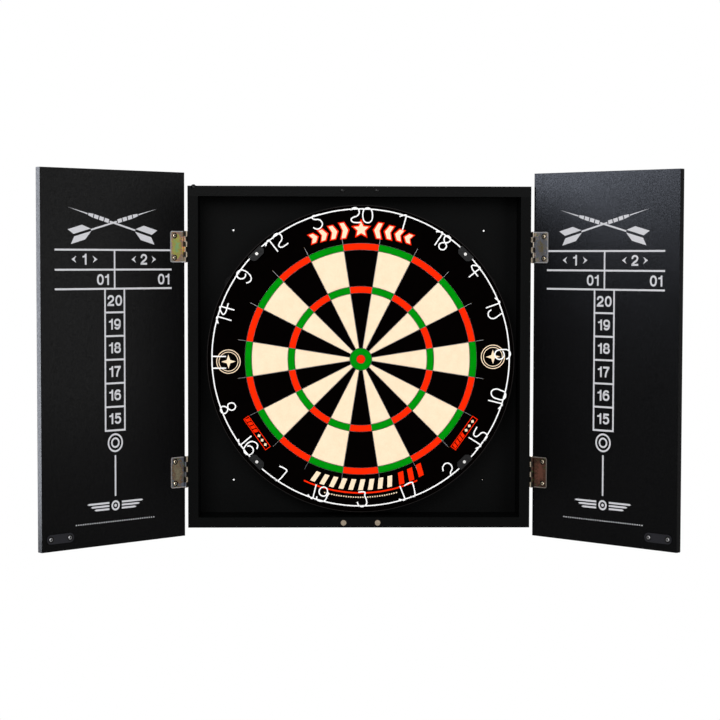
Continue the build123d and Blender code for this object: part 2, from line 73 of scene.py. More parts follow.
# %% [markdown]
# ## Camera
# The picture was taken from about three metres away with a long lens, a little above the middle
# of the board and a little to its left. A camera could be aimed with a constraint, but writing its
# three axes from yaw, pitch and roll keeps the small roll that lines up the cabinet's corners.

# %% Camera
camera_data = bpy.data.cameras.new("long_lens")
camera_data.sensor_width = 36
camera_data.lens = 97.64
camera = add_object("long_lens", camera_data)
scene.camera = camera

yaw, pitch, roll = (math.radians(angle) for angle in (1.243, -2.970, 0.123))
ahead = Vector((math.sin(yaw) * math.cos(pitch), math.cos(yaw) * math.cos(pitch), math.sin(pitch)))
level_right = ahead.cross(Vector((0, 0, 1))).normalized()
level_up = level_right.cross(ahead)
camera_right = level_right * math.cos(roll) + level_up * math.sin(roll)
camera_up = level_up * math.cos(roll) - level_right * math.sin(roll)
turn = Matrix((camera_right, camera_up, -ahead)).transposed().to_4x4()
camera_place = (-0.0608, -2.9107, 0.1442)
camera.matrix_world = Matrix.Translation(camera_place) @ turn
print("camera at", [round(value, 3) for value in camera.matrix_world.translation])

# %% [markdown]
# ## Node helpers
# Materials are built from nodes. A short helper that adds a node, sets its plain values and links
# its sockets keeps each finish readable: a number is typed in, and a socket is linked. Noise and
# sums come up so often that each has a helper of its own, and `feed` links results by their names.


# %% Node helpers
def add_node(tree, kind, sockets=(), **settings):
    made = tree.nodes.new("ShaderNode" + kind)
    for key, value in settings.items():
        setattr(made, key, value)
    for key, value in dict(sockets).items():
        if isinstance(value, bpy.types.NodeSocket):
            tree.links.new(value, made.inputs[key])
        else:
            made.inputs[key].default_value = value
    return made


def object_place(tree):
    return add_node(tree, "TexCoord").outputs["Object"]


def blend_colours(tree, share, first, second):
    """Mixes two colours by a share that varies over the surface."""
    mix = add_node(tree, "Mix", {0: share, 6: first, 7: second}, data_type="RGBA")
    return mix.outputs[2]


def remap(tree, value, low, high, to_low, to_high):
    sockets = {"Value": value, 1: low, 2: high, 3: to_low, 4: to_high}
    return add_node(tree, "MapRange", sockets).outputs[0]


def arithmetic(tree, operation, first, second, **settings):
    return add_node(tree, "Math", {0: first, 1: second}, operation=operation, **settings).outputs[0]


def noise(tree, place, scale, detail, roughness=0.5):
    sockets = {"Vector": place, "Scale": scale, "Detail": detail, "Roughness": roughness}
    return add_node(tree, "TexNoise", sockets).outputs[0]


def feed(tree, node, **sources):
    """Links each source to the socket of its name, with spaces for underscores."""
    for key, source in sources.items():
        tree.links.new(source, node.inputs[key.replace("_", " ")])


def new_group(name, inputs, outputs):
    """An empty node group with named sockets, and its input and output nodes."""
    group = bpy.data.node_groups.new(name, "ShaderNodeTree")
    for label, kind, value in inputs:
        socket = group.interface.new_socket(label, in_out="INPUT", socket_type="NodeSocket" + kind)
        socket.default_value = value
    for label, kind in outputs:
        group.interface.new_socket(label, in_out="OUTPUT", socket_type="NodeSocket" + kind)
    return group, group.nodes.new("NodeGroupInput"), group.nodes.new("NodeGroupOutput")


# %% [markdown]
# ## Studio
# The cabinet hangs in front of plain white. The world is white to the camera and in reflections,
# and only a dim fill to everything else, so the background doesn't wash out the black paint. Two
# soft boxes light the front and one the back. Three panels are there for the gloss alone, each linked
# to one door: on the left door one brightens the free edge and one the inner face, and on the right
# door the third puts a pale sheen on the top. They could be part of the world's picture, but lamps
# are easier to move. The floor lies where it would be with the bull at its usual height. Far from the
# cabinet the camera sees it white, so that it runs into the background without a line.

# %% World
world = bpy.data.worlds.new("white_studio")
scene.world = world
world.use_nodes = True
tree = world.node_tree
tree.nodes.clear()
path = add_node(tree, "LightPath")
seen = arithmetic(tree, "MAXIMUM", path.outputs["Is Camera Ray"], path.outputs["Is Glossy Ray"])
seen = arithmetic(tree, "MAXIMUM", seen, path.outputs["Is Transmission Ray"])
fill = add_node(tree, "Background", {"Color": (1, 1, 1, 1), "Strength": 0.25})
white = add_node(tree, "Background", {"Color": (1, 1, 1, 1), "Strength": 1.0})
mixed = add_node(tree, "MixShader", {0: seen, 1: fill.outputs[0], 2: white.outputs[0]})
add_node(tree, "OutputWorld", {"Surface": mixed.outputs[0]})
print("world fill", fill.inputs["Strength"].default_value)


# %% Lamps
def soft_box(name, place, target, width, height, watts, colour=(1, 1, 1), sheen_on=None):
    """A rectangular lamp. With sheen_on it only adds gloss, and only to that piece."""
    lamp = bpy.data.lights.new(name, "AREA")
    lamp.shape = "RECTANGLE"
    lamp.size, lamp.size_y = width, height
    lamp.energy = watts
    lamp.color = colour
    box = add_object(name, lamp)
    box.location = place
    box.rotation_euler = (Vector(target) - Vector(place)).to_track_quat("-Z", "Y").to_euler()
    box.visible_camera = False
    if sheen_on:
        box.visible_diffuse = False
        lit = bpy.data.collections.new(name + "_lit")
        lit.objects.link(nodes[sheen_on])
        box.light_linking.receiver_collection = lit


middle = (0, -0.05, 0)
soft_box("front_box", (-1.1, -4.2, 1.5), middle, 2.4, 1.8, 138)
soft_box("low_front_box", (2.0, -3.9, 0.3), middle, 1.6, 1.6, 50)
soft_box("rear_box", (1.3, 3.6, 1.6), middle, 2.0, 1.6, 110)
pale_blue, cool_white = (0.76, 0.83, 1.0), (0.86, 0.90, 1.0)
left_door, right_door = (side + "_door_panel" for side in sides)
soft_box("rear_left_panel", (-2.4, 0.45, 0.475), (-0.4, 0.1, 0.1), 0.8, 2.08, 225, cool_white, left_door)
soft_box("left_panel", (-2.3, -0.40, 0.50), (0.3, -0.1, 0.2), 1.0, 0.36, 68, pale_blue, right_door)
soft_box("right_panel", (2.4, -0.75, 0.45), (-0.3, -0.1, 0.1), 1.0, 1.6, 15, sheen_on=left_door)
print("lamps", len(bpy.data.lights))

# %% Floor
floor_mesh = bpy.data.meshes.new("floor")
half, floor_z = 8.0, -1.73
corners = [(x, y, floor_z) for x, y in ((-half, -half), (half, -half), (half, half), (-half, half))]
floor_mesh.from_pydata(corners, [], [(0, 1, 2, 3)])
floor = add_object("floor", floor_mesh)
floor_paint = bpy.data.materials.new("pale_floor")
floor_paint.use_nodes = True
tree = floor_paint.node_tree
floor_shader = tree.nodes["Principled BSDF"]
floor_shader.inputs["Base Color"].default_value = (0.86, 0.86, 0.86, 1)
floor_shader.inputs["Roughness"].default_value = 0.8
path = add_node(tree, "LightPath")
spot = object_place(tree)
reach = add_node(tree, "VectorMath", {0: spot, 1: (0, 0, floor_z)}, operation="DISTANCE")
whiteness = remap(tree, reach.outputs["Value"], 0.8, 5.0, 0.75, 1.0)
share = arithmetic(tree, "MULTIPLY", path.outputs["Is Camera Ray"], whiteness)
glow = add_node(tree, "Emission", {"Color": (1, 1, 1, 1), "Strength": 1.0})
paled = add_node(tree, "MixShader", {0: share, 1: floor_shader.outputs[0], 2: glow.outputs[0]})
feed(tree, tree.nodes["Material Output"], Surface=paled.outputs[0])
floor_mesh.materials.append(floor_paint)
print("floor at", floor_z)

# %% [markdown]
# ## Shared effects
# Three effects serve several finishes, so each is a node group. Painted fibreboard and moulded
# plastic have a fine grain, a slight orange peel and points that sparkle. Sisal shows the cut ends
# of its fibres, with soft patches where the dye took more or less. Passivated zinc shows drifting
# patches of straw, rose, green and grey. An image of each could be laid on instead, but noise in
# object space needs no unwrapping and stays sharp close up.


# %% Paint grain
def make_paint_grain():
    inputs = [("Colour", "Color", (0, 0, 0, 1)), ("Grain Scale", "Float", 900.0),
              ("Grain", "Float", 0.5), ("Gloss", "Float", 0.6)]
    outputs = [("Colour", "Color"), ("Roughness", "Float"), ("Height", "Float"), ("Sparkle", "Float")]
    group, given, result = new_group("paint_grain", inputs, outputs)
    place = object_place(group)
    base, scale = given.outputs["Colour"], given.outputs["Grain Scale"]
    speck = remap(group, noise(group, place, scale, 3.0, 0.6), 0.35, 0.75, 0.0, 1.0)
    share = arithmetic(group, "MULTIPLY", speck, given.outputs["Grain"])
    lit = add_node(group, "Mix", {0: 1.0, 6: base, 7: (2.6, 2.6, 2.7, 1)},
                   data_type="RGBA", blend_type="MULTIPLY", clamp_result=False)
    dull = remap(group, noise(group, place, 14.0, 3.0), 0.3, 0.7, 0.98, 1.02)
    peel_scale = arithmetic(group, "MULTIPLY", scale, 0.55)
    feed(group, result, Colour=blend_colours(group, share, base, lit.outputs[2]),
         Roughness=arithmetic(group, "SUBTRACT", dull, given.outputs["Gloss"]),
         Height=noise(group, place, peel_scale, 0.5),
         Sparkle=remap(group, noise(group, place, 640.0, 0.8), 0.38, 0.62, 0.0, 0.055))
    return group


paint_grain = make_paint_grain()
print("group", paint_grain.name, "with", len(paint_grain.nodes), "nodes")


# %% Sisal fibre ends
def make_fibre_ends():
    inputs = [("Colour", "Color", (1, 1, 1, 1)), ("Dark", "Color", (0.5, 0.5, 0.5, 1)),
              ("Depth", "Float", 0.5)]
    group, given, result = new_group("fibre_ends", inputs, [("Colour", "Color"), ("Height", "Float")])
    place = object_place(group)
    ends = add_node(group, "TexVoronoi", {"Vector": place, "Scale": 1500.0})
    gaps = remap(group, ends.outputs["Distance"], 0.25, 0.75, 0.0, 0.5)
    patches = remap(group, noise(group, place, 75.0, 4.0, 0.55), 0.38, 0.68, 0.0, 0.5)
    tufts = remap(group, noise(group, place, 420.0, 4.0, 0.7), 0.4, 0.75, 0.0, 0.55)
    total = arithmetic(group, "ADD", arithmetic(group, "ADD", gaps, patches), tufts)
    share = arithmetic(group, "MULTIPLY", total, given.outputs["Depth"], use_clamp=True)
    feed(group, result, Height=arithmetic(group, "SUBTRACT", 1.0, total),
         Colour=blend_colours(group, share, given.outputs["Colour"], given.outputs["Dark"]))
    return group


fibre_ends = make_fibre_ends()
print("group", fibre_ends.name, "with", len(fibre_ends.nodes), "nodes")


# %% Passivated plate
leaf_middle, leaf_half, leaf_rise = 14.6 * mm, 11.9 * mm, 22.5 * mm
border_middle, border_half, corner = 9.2 * mm, 17.3 * mm, 3.0 * mm


def make_passivated_plate():
    """Bands that follow a hinge leaf's outline, measured from its pin along the door."""
    inputs = [("Pin", "Vector", (0, 0, 0)), ("Along", "Vector", (1, 0, 0))]
    outputs = [(label, "Float") for label in ("Place", "Border", "Reach", "Specks", "Roughness")]
    group, given, result = new_group("passivated_plate", inputs, outputs)

    def vector_math(operation, first, second=(0, 0, 0), output=0):
        made = add_node(group, "VectorMath", {0: first, 1: second}, operation=operation)
        return made.outputs[output]

    spot = object_place(group)
    from_pin = vector_math("SUBTRACT", spot, given.outputs["Pin"])
    reach = vector_math("DOT_PRODUCT", from_pin, given.outputs["Along"], "Value")
    height = add_node(group, "SeparateXYZ", {0: from_pin}).outputs["Z"]
    flat = add_node(group, "CombineXYZ", {0: reach, 1: height}).outputs[0]

    off_middle = vector_math("SUBTRACT", flat, (leaf_middle, 0, 0))
    oval = vector_math("MULTIPLY", off_middle, (1 / leaf_half, 1 / leaf_rise, 0))
    drift = remap(group, noise(group, spot, 240.0, 5.0, 0.75), 0.34, 0.66, -0.5, 0.5)
    place = arithmetic(group, "ADD", vector_math("LENGTH", oval, output="Value"), drift)

    off_corner = vector_math("ABSOLUTE", vector_math("SUBTRACT", flat, (border_middle, 0, 0)))
    off_corner = vector_math("SUBTRACT", off_corner, (border_half - corner, leaf_rise - corner, 0))
    off_corner = vector_math("LENGTH", vector_math("MAXIMUM", off_corner), output="Value")

    speck = noise(group, spot, 420.0, 3.0)
    outer = remap(group, place, 0.7, 0.95, 0, 1)
    spots = remap(group, speck, 0.60, 0.66, 0, 1)
    feed(group, result, Place=place, Reach=reach,
         Border=remap(group, off_corner, corner - 1.5 * mm, corner - 0.7 * mm, 0, 1),
         Specks=arithmetic(group, "MULTIPLY", outer, spots),
         Roughness=remap(group, speck, 0.3, 0.7, 0.30, 0.48))
    return group


passivated_plate = make_passivated_plate()
print("group", passivated_plate.name, "with", len(passivated_plate.nodes), "nodes")


# %% Door directions
def door_along(side):
    """The direction in which a door stands at rest, from its hinge to its free edge."""
    opening = math.radians(joints[side + "_door_swing"]["range_deg"][1])
    return Vector((-hands[side] * math.cos(opening), -math.sin(opening), 0))


# %% [markdown]
# ## Finishes
# Each finish is one Principled shader. What is the same all over the piece is typed on the shader,
# and what varies comes from the groups above. Finishes of one kind are rows of a table, because they
# differ only in their values.


# %% Finish helpers
def new_finish(name, metallic=0.0, roughness=0.5, specular=0.5):
    finish = bpy.data.materials.new(name)
    finish.use_nodes = True
    shader = finish.node_tree.nodes["Principled BSDF"]
    shader.inputs["Metallic"].default_value = metallic
    shader.inputs["Roughness"].default_value = roughness
    shader.inputs["Specular IOR Level"].default_value = specular
    return finish, finish.node_tree, shader


def placed_group(tree, group, **values):
    """Places a shared group in a finish, with its own values."""
    placed = tree.nodes.new("ShaderNodeGroup")
    placed.node_tree = group
    for key, value in values.items():
        placed.inputs[key.replace("_", " ")].default_value = value
    return placed


def add_bump(tree, shader, height, strength, depth):
    bump = add_node(tree, "Bump", {"Height": height, "Strength": strength, "Distance": depth})
    feed(tree, shader, Normal=bump.outputs[0])


# %% Paints and fibres
def grained(name, colour, specular, grain, scale=900.0, strength=0.05, gloss=0.6, sparkle=False):
    """A paint or plastic with a fine grain."""
    finish, tree, shader = new_finish(name, specular=specular)
    paint = placed_group(tree, paint_grain, Colour=(*colour, 1), Grain_Scale=scale, Grain=grain, Gloss=gloss)
    feed(tree, shader, Base_Color=paint.outputs["Colour"], Roughness=paint.outputs["Roughness"])
    add_bump(tree, shader, paint.outputs["Height"], strength, 0.3 * mm)
    if sparkle:
        feed(tree, shader, Coat_Weight=paint.outputs["Sparkle"])
        shader.inputs["Coat Roughness"].default_value = 1 - gloss
    return finish


def sisal(name, colour, dark, depth=0.5):
    """Dyed fibre ends, with no shine to speak of."""
    finish, tree, shader = new_finish(name, roughness=0.95, specular=0.0)
    ends = placed_group(tree, fibre_ends, Colour=(*colour, 1), Dark=(*dark, 1), Depth=depth)
    feed(tree, shader, Base_Color=ends.outputs["Colour"])
    add_bump(tree, shader, ends.outputs["Height"], 0.25, 0.2 * mm)
    return finish


def faced_board(name, paint, board, board_dark):
    """Hardboard, painted at the front and raw at the back."""
    finish, tree, shader = new_finish(name, specular=0.02)
    front = placed_group(tree, paint_grain, Colour=(*paint, 1), Grain_Scale=650.0, Grain=0.5)
    rear = placed_group(tree, fibre_ends, Colour=(*board, 1), Dark=(*board_dark, 1), Depth=0.9)
    facing = add_node(tree, "TexCoord").outputs["Normal"]
    behind = remap(tree, add_node(tree, "SeparateXYZ", {0: facing}).outputs["Y"], 0.5, 0.6, 0, 1)
    colour = blend_colours(tree, behind, front.outputs["Colour"], rear.outputs["Colour"])
    feed(tree, shader, Base_Color=colour, Roughness=front.outputs["Roughness"])
    add_bump(tree, shader, front.outputs["Height"], 0.3, 0.1 * mm)
    return finish


# %% Metals
speck_green, knuckle_shade = (0.06, 0.17, 0.04, 1), (0.014, 0.012, 0.010, 1)
# Painted highlight in two tones for the frame leaves' knuckles, and painted shade beside it.
bright_knuckle_highlight, dull_knuckle_highlight, knuckle_side_shade = (1.0, 0.86, 0.66, 1), (0.42, 0.32, 0.22, 1), (0.02, 0.018, 0.015, 1)


def bare_metal(name, colour, low, high):
    """Plated or drawn metal whose tone and polish vary a little."""
    finish, tree, shader = new_finish(name, metallic=1.0)
    polish = noise(tree, object_place(tree), 400.0, 3.0)
    tone = remap(tree, polish, 0.3, 0.7, 0.0, 1.0)
    worn = [0.78 * value for value in colour]
    feed(tree, shader, Base_Color=blend_colours(tree, tone, (*colour, 1), (*worn, 1)),
         Roughness=remap(tree, polish, 0.3, 0.7, low, high))
    return finish


def hinge_metal(name, side, height):
    """A metal finish with the bands of a hinge leaf placed in it."""
    finish, tree, shader = new_finish(name, metallic=1.0)
    pin = Vector(joints[side + "_door_swing"]["pos_m"])
    pin.z = height
    plate = placed_group(tree, passivated_plate, Pin=pin, Along=door_along(side))
    feed(tree, shader, Roughness=plate.outputs["Roughness"])
    return finish, tree, shader, plate


def plated(name, side, height, stops, edge_highlight):
    """A door leaf: bands of colour from its middle outwards, a painted highlight along its edge and painted
    shade on its knuckles.
    """
    finish, tree, shader, plate = hinge_metal(name, side, height)
    ramp = add_node(tree, "ValToRGB", {0: plate.outputs["Place"]})
    while len(ramp.color_ramp.elements) < len(stops):
        ramp.color_ramp.elements.new(0.5)
    for element, (place, colour) in zip(ramp.color_ramp.elements, stops):
        element.position = place
        element.color = (*colour, 1)
    colour = blend_colours(tree, plate.outputs["Specks"], ramp.outputs["Color"], speck_green)
    # The leaf's edge takes a painted highlight.
    colour = blend_colours(tree, plate.outputs["Border"], colour, (*edge_highlight, 1))
    # Painted shade on the knuckles.
    barrel = remap(tree, plate.outputs["Reach"], 1.5 * mm, 2.3 * mm, 1, 0)
    feed(tree, shader, Base_Color=blend_colours(tree, barrel, colour, knuckle_shade))
    return finish


def rubbed(name, side):
    """A frame leaf: a painted highlight along the middle of the knuckles, with painted shade beside it."""
    finish, tree, shader, plate = hinge_metal(name, side, 0)
    # Painted shade outside a narrow band along the knuckles, and painted highlight within it.
    near = remap(tree, plate.outputs["Reach"], 0.3 * mm, 1.0 * mm, 0, 1)
    far = remap(tree, plate.outputs["Reach"], -2.0 * mm, -1.3 * mm, 1, 0)
    shade = arithmetic(tree, "MAXIMUM", near, far)
    pale = blend_colours(tree, plate.outputs["Roughness"], bright_knuckle_highlight, dull_knuckle_highlight)
    feed(tree, shader, Base_Color=blend_colours(tree, shade, pale, knuckle_side_shade))
    return finish


# %% Make the finishes
finish_rows = {
    # Colour, specular, grain, grain scale, bump strength, gloss, sparkle.
    grained: {
        "door_paint": ((0.0015, 0.0015, 0.0016), 0.0245, 0.5, 650.0, 0.10, 0.775, True),
        "rail_paint": ((0.0018, 0.0019, 0.0019), 0.03, 0.5, 650.0, 0.4),
        "side_paint": ((0.0012, 0.0013, 0.0013), 0.025, 0.5, 650.0, 0.4),
        "panel_paint": ((0.0018, 0.0019, 0.0019), 0.02, 0.5, 650.0, 0.3),
        "clip_plastic": ((0.0026, 0.0026, 0.0028), 0.12, 0.9, 520.0, 0.8),
        "wheel_plastic": ((0.0008, 0.0008, 0.0009), 0.05, 0.8, 700.0, 0.5),
        "black_rubber": ((0.0015, 0.0015, 0.0015), 0.10, 0.4, 1400.0, 0.05, 0.80),
        "black_coat": ((0.006, 0.006, 0.0082), 0.2, 0.4, 1600.0),
        "band_coat": ((0.0030, 0.0020, 0.0018), 0.09, 0.6, 500.0),
        "white_coat": ((0.99, 0.99, 0.99), 0.5, 0.0, 1600.0, 0.03),
        "print_ink": ((0.58, 0.58, 0.61), 0.2, 0.0, 1200.0),
    },
    # Colour, colour of the gaps, depth of the gaps.
    sisal: {
        "black_sisal": ((0.0012, 0.0007, 0.0006), (0.0003, 0.0002, 0.0002)),
        "cream_sisal": ((0.935, 0.752, 0.545), (0.785, 0.571, 0.362), 0.42),
        "red_sisal": ((1.0, 0.023, 0.0014), (0.72, 0.013, 0.001), 0.45),
        "green_sisal": ((0.0006, 0.275, 0.0042), (0.0003, 0.16, 0.002), 0.45),
        "raw_sisal": ((0.62, 0.47, 0.27), (0.40, 0.28, 0.14), 0.8),
        "chipboard": ((0.52, 0.38, 0.23), (0.30, 0.20, 0.11), 0.9),
        "beech": ((0.70, 0.52, 0.33), (0.55, 0.38, 0.22), 0.5),
    },
    # Colour, least and most roughness.
    bare_metal: {
        "blade_steel": ((0.30, 0.30, 0.31), 0.30, 0.50),
        "bright_zinc": ((0.72, 0.72, 0.74), 0.20, 0.40),
        "nickel": ((0.80, 0.79, 0.77), 0.12, 0.25),
        "dull_nickel": ((0.27, 0.22, 0.165), 0.25, 0.45),
        "pale_zinc": ((0.78, 0.66, 0.49), 0.20, 0.35),
        "grey_zinc": ((0.42, 0.42, 0.43), 0.25, 0.40),
        # Painted shade, for the screws' countersinks and cross recesses.
        "dark_oxide": ((0.012, 0.011, 0.010), 0.40, 0.60),
    },
}
finishes = {name: make(name, *row) for make, rows in finish_rows.items() for name, row in rows.items()}
black_paint, raw_board, raw_gaps = (0.0018, 0.0019, 0.0019), (0.23, 0.125, 0.062), (0.13, 0.066, 0.032)
finishes["hardboard"] = faced_board("hardboard", black_paint, raw_board, raw_gaps)
print("finishes", len(finishes))

# %% Hinge plates
green, olive, rose = (0.33, 0.54, 0.24), (0.47, 0.50, 0.12), (0.60, 0.27, 0.18)
drab, slate, umber = (0.32, 0.27, 0.22), (0.155, 0.168, 0.21), (0.175, 0.145, 0.08)
rust, soot = (0.19, 0.08, 0.055), (0.065, 0.036, 0.026)
sand, dun = (0.29, 0.25, 0.165), (0.19, 0.165, 0.11)
# Where each colour is reached, as a share of the way from the leaf's middle to its edge.
leaf_bands = {
    "left_upper": [(0.24, green), (0.34, olive), (0.66, olive), (0.76, rose), (0.90, rose), (1.0, drab)],
    "right_upper": [(0.2, umber), (0.36, slate), (0.52, umber), (0.62, slate), (0.94, slate), (1.0, drab)],
    "left_lower": [(0.15, sand), (0.32, dun), (0.5, sand), (0.68, rust), (0.84, umber), (0.96, slate)],
    "right_lower": [(0.2, rust), (0.5, rust), (0.66, soot), (0.78, rust), (0.9, soot), (1.0, soot)],
}
# Colour of the painted highlight along each leaf's edge.
leaf_edge_highlights = {"left_upper": (0.62, 0.62, 0.64), "right_upper": (0.52, 0.52, 0.54),
                "left_lower": (0.50, 0.46, 0.45), "right_lower": (0.30, 0.27, 0.24)}
for name, bands in leaf_bands.items():
    low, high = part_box(name + "_door_leaf")
    side, height = name.split("_")[0], (low.z + high.z) / 2
    finishes[name + "_plate"] = plated(name + "_plate", side, height, bands, leaf_edge_highlights[name])
for side in sides:
    finishes[side + "_frame_plate"] = rubbed(side + "_frame_plate", side)
print("finishes with the plates", len(finishes))

# %% [markdown]
# ## Dress the CAD pieces
# Most CAD pieces already have the right shape, so they stay and only take their finish. Their
# meshes aren't touched. The others, such as the screws, get a new piece further down.

# %% Dress the CAD pieces
worn_by = {
    "door_paint": [left_door, right_door],
    "rail_paint": ["top_rail"],
    "side_paint": ["bottom_rail", "left_side", "right_side"],
    "hardboard": ["back_panel"],
    "black_coat": ["left_strike_plate", "right_strike_plate"],
    "band_coat": ["steel_band"],
    "clip_plastic": ["ring_clips"],
    "wheel_plastic": [place + "_levelling_wheel" for place in ("upper_right", "bottom", "upper_left")],
    "black_rubber": ["door_bumpers"],
    "dull_nickel": ["door_magnets"],
    "nickel": ["clip_pins"],
    "bright_zinc": ["board_bracket", "hanging_screw", "wheel_studs"],
    "beech": ["corner_dowels"],
    "chipboard": ["backing_board"],
    "raw_sisal": ["sisal_core"],
    "black_sisal": ["black_beds", "number_field"],
    "cream_sisal": ["cream_beds"],
    "red_sisal": ["red_beds", "bull"],
    "green_sisal": ["green_beds", "outer_bull"],
}
for side in sides:
    worn_by[side + "_frame_plate"] = [f"{side}_{level}_{part}" for level in levels
                                      for part in ("frame_leaf", "hinge_pin")]
for name in leaf_bands:
    worn_by[name + "_plate"] = [name + "_door_leaf"]

for finish, names in worn_by.items():
    for name in names:
        for slot in nodes[name].material_slots:
            slot.material = finishes[finish]
print("dressed", sum(len(names) for names in worn_by.values()), "of", len(nodes), "pieces")

# %% [markdown]
# ## Flat shapes
# The printed marks are thin layers of ink. An image texture would be the common way, but ink as
# its own thin mesh stays sharp at any size and needs no picture. Each mark is a list of flat
# outlines in its own plane, x to the right and y up, in millimetres. `ink_mesh` fills the outlines
# and gives them the thickness of the ink, and a matrix then lays them on a surface.


# %% Outlines
def bar(x0, y0, x1, y1):
    return [(x0, y0), (x1, y0), (x1, y1), (x0, y1)]


def moved(outline, x=0.0, y=0.0, degrees=0.0):
    c, s = math.cos(math.radians(degrees)), math.sin(math.radians(degrees))
    return [(x + c * u - s * v, y + s * u + c * v) for u, v in outline]


def star(radius, waist, points=5):
    step = math.pi / points
    reach = [radius if index % 2 == 0 else radius * waist for index in range(2 * points)]
    return [(r * math.sin(step * i), r * math.cos(step * i)) for i, r in enumerate(reach)]


def disc(radius, count=40):
    return [(radius * math.cos(2 * math.pi * i / count), radius * math.sin(2 * math.pi * i / count))
            for i in range(count)]


def arc_band(inner, outer, start=0, end=360, count=48):
    """Quads along a band between two radii. Angles are clockwise from the top, in degrees."""
    angles = [math.radians(start + (end - start) * i / count) for i in range(count + 1)]
    edge = [[(r * math.sin(a), r * math.cos(a)) for a in angles] for r in (inner, outer)]
    return [[edge[0][i], edge[0][i + 1], edge[1][i + 1], edge[1][i]] for i in range(count)]


def on_circle(outline, radius, angle):
    """Carries an outline to a place on a circle, its top outwards."""
    return moved(moved(outline, y=radius), degrees=-angle)


# %% Ink
def finished_mesh(work, name):
    """Turns every face outwards and hands the shape over as a mesh."""
    bmesh.ops.recalc_face_normals(work, faces=work.faces)
    mesh = bpy.data.meshes.new(name)
    work.to_mesh(mesh)
    work.free()
    return mesh


def join_edges(work):
    """Joins outlines that share a whole edge, so that no wall of ink is left between them."""
    first_at, joined = {}, {}
    for edge in work.edges:
        ends = {tuple(round(value, 7) for value in corner.co): corner for corner in edge.verts}
        first = first_at.setdefault(frozenset(ends), ends)
        if first is not ends:
            joined.update({ends[spot]: first[spot] for spot in ends})
    bmesh.ops.weld_verts(work, targetmap=joined)


def ink_mesh(name, outlines, thickness):
    work = bmesh.new()
    for outline in outlines:
        work.faces.new([work.verts.new((x * mm, y * mm, 0)) for x, y in outline])
    join_edges(work)
    for face in work.faces:
        face.normal_update()
        if face.normal.z < 0:
            face.normal_flip()
    made = bmesh.ops.extrude_face_region(work, geom=list(work.faces), use_keep_orig=True)
    raised = [item for item in made["geom"] if isinstance(item, bmesh.types.BMVert)]
    bmesh.ops.translate(work, verts=raised, vec=(0, 0, thickness * mm))
    return finished_mesh(work, name)


def add_piece(name, mesh, finish, body):
    mesh.materials.append(finishes[finish])
    piece = add_object(name, mesh)
    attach(piece, body)
    return piece


# %% Pen lines
def smooth_line(points, steps=5):
    """A curve through points, each stretch shaped by its neighbours."""
    last = len(points) - 1
    line = []
    for i in range(last):
        near = [points[min(max(i + k, 0), last)] for k in (-1, 0, 1, 2)]
        for step in range(steps):
            t = step / steps
            weights = (-t + 2 * t * t - t**3, 2 - 5 * t * t + 3 * t**3,
                       t + 4 * t * t - 3 * t**3, t**3 - t * t)
            line.append(tuple(sum(w * p[axis] for w, p in zip(weights, near)) / 2 for axis in (0, 1)))
    return line + [points[-1]]


def ribbon(points, width, closed=False):
    """Quads of one width along a line."""
    count = len(points)
    edges = []
    for i, (x, y) in enumerate(points):
        ahead = points[(i + 1) % count] if closed or i < count - 1 else points[i]
        behind = points[i - 1] if closed or i > 0 else points[i]
        dx, dy = ahead[0] - behind[0], ahead[1] - behind[1]
        size = math.hypot(dx, dy)
        across = (-dy / size * width / 2, dx / size * width / 2)
        edges.append(((x + across[0], y + across[1]), (x - across[0], y - across[1])))
    pairs = [(i, i + 1) for i in range(count - 1)] + ([(count - 1, 0)] if closed else [])
    return [[edges[i][1], edges[j][1], edges[j][0], edges[i][0]] for i, j in pairs]


# %% [markdown]
# ## Score print on the doors
# Each door carries the same score table in pale grey ink: two columns headed by a figure, a ladder
# of the numbers 20 to 15 with the bull below, and an ornament at the top and the foot. The doors'
# inner faces are turned, so the print's plane is found from each door's hinge and its opening angle.


# %% Printed figures
stroke, cap_height, figure_gap = 2.8, 15.3, 2.2


def oval(y, across, high):
    """A ribbon round a slightly squared oval, its middle line within the given reach."""
    def squared(value):
        return math.copysign(abs(value) ** 0.88, value)

    line = [(across * squared(c), y + high * squared(s)) for c, s in disc(1.0, 36)]
    return ribbon(line, stroke, closed=True)


def pen(*points):
    return ribbon(smooth_line(points), stroke)


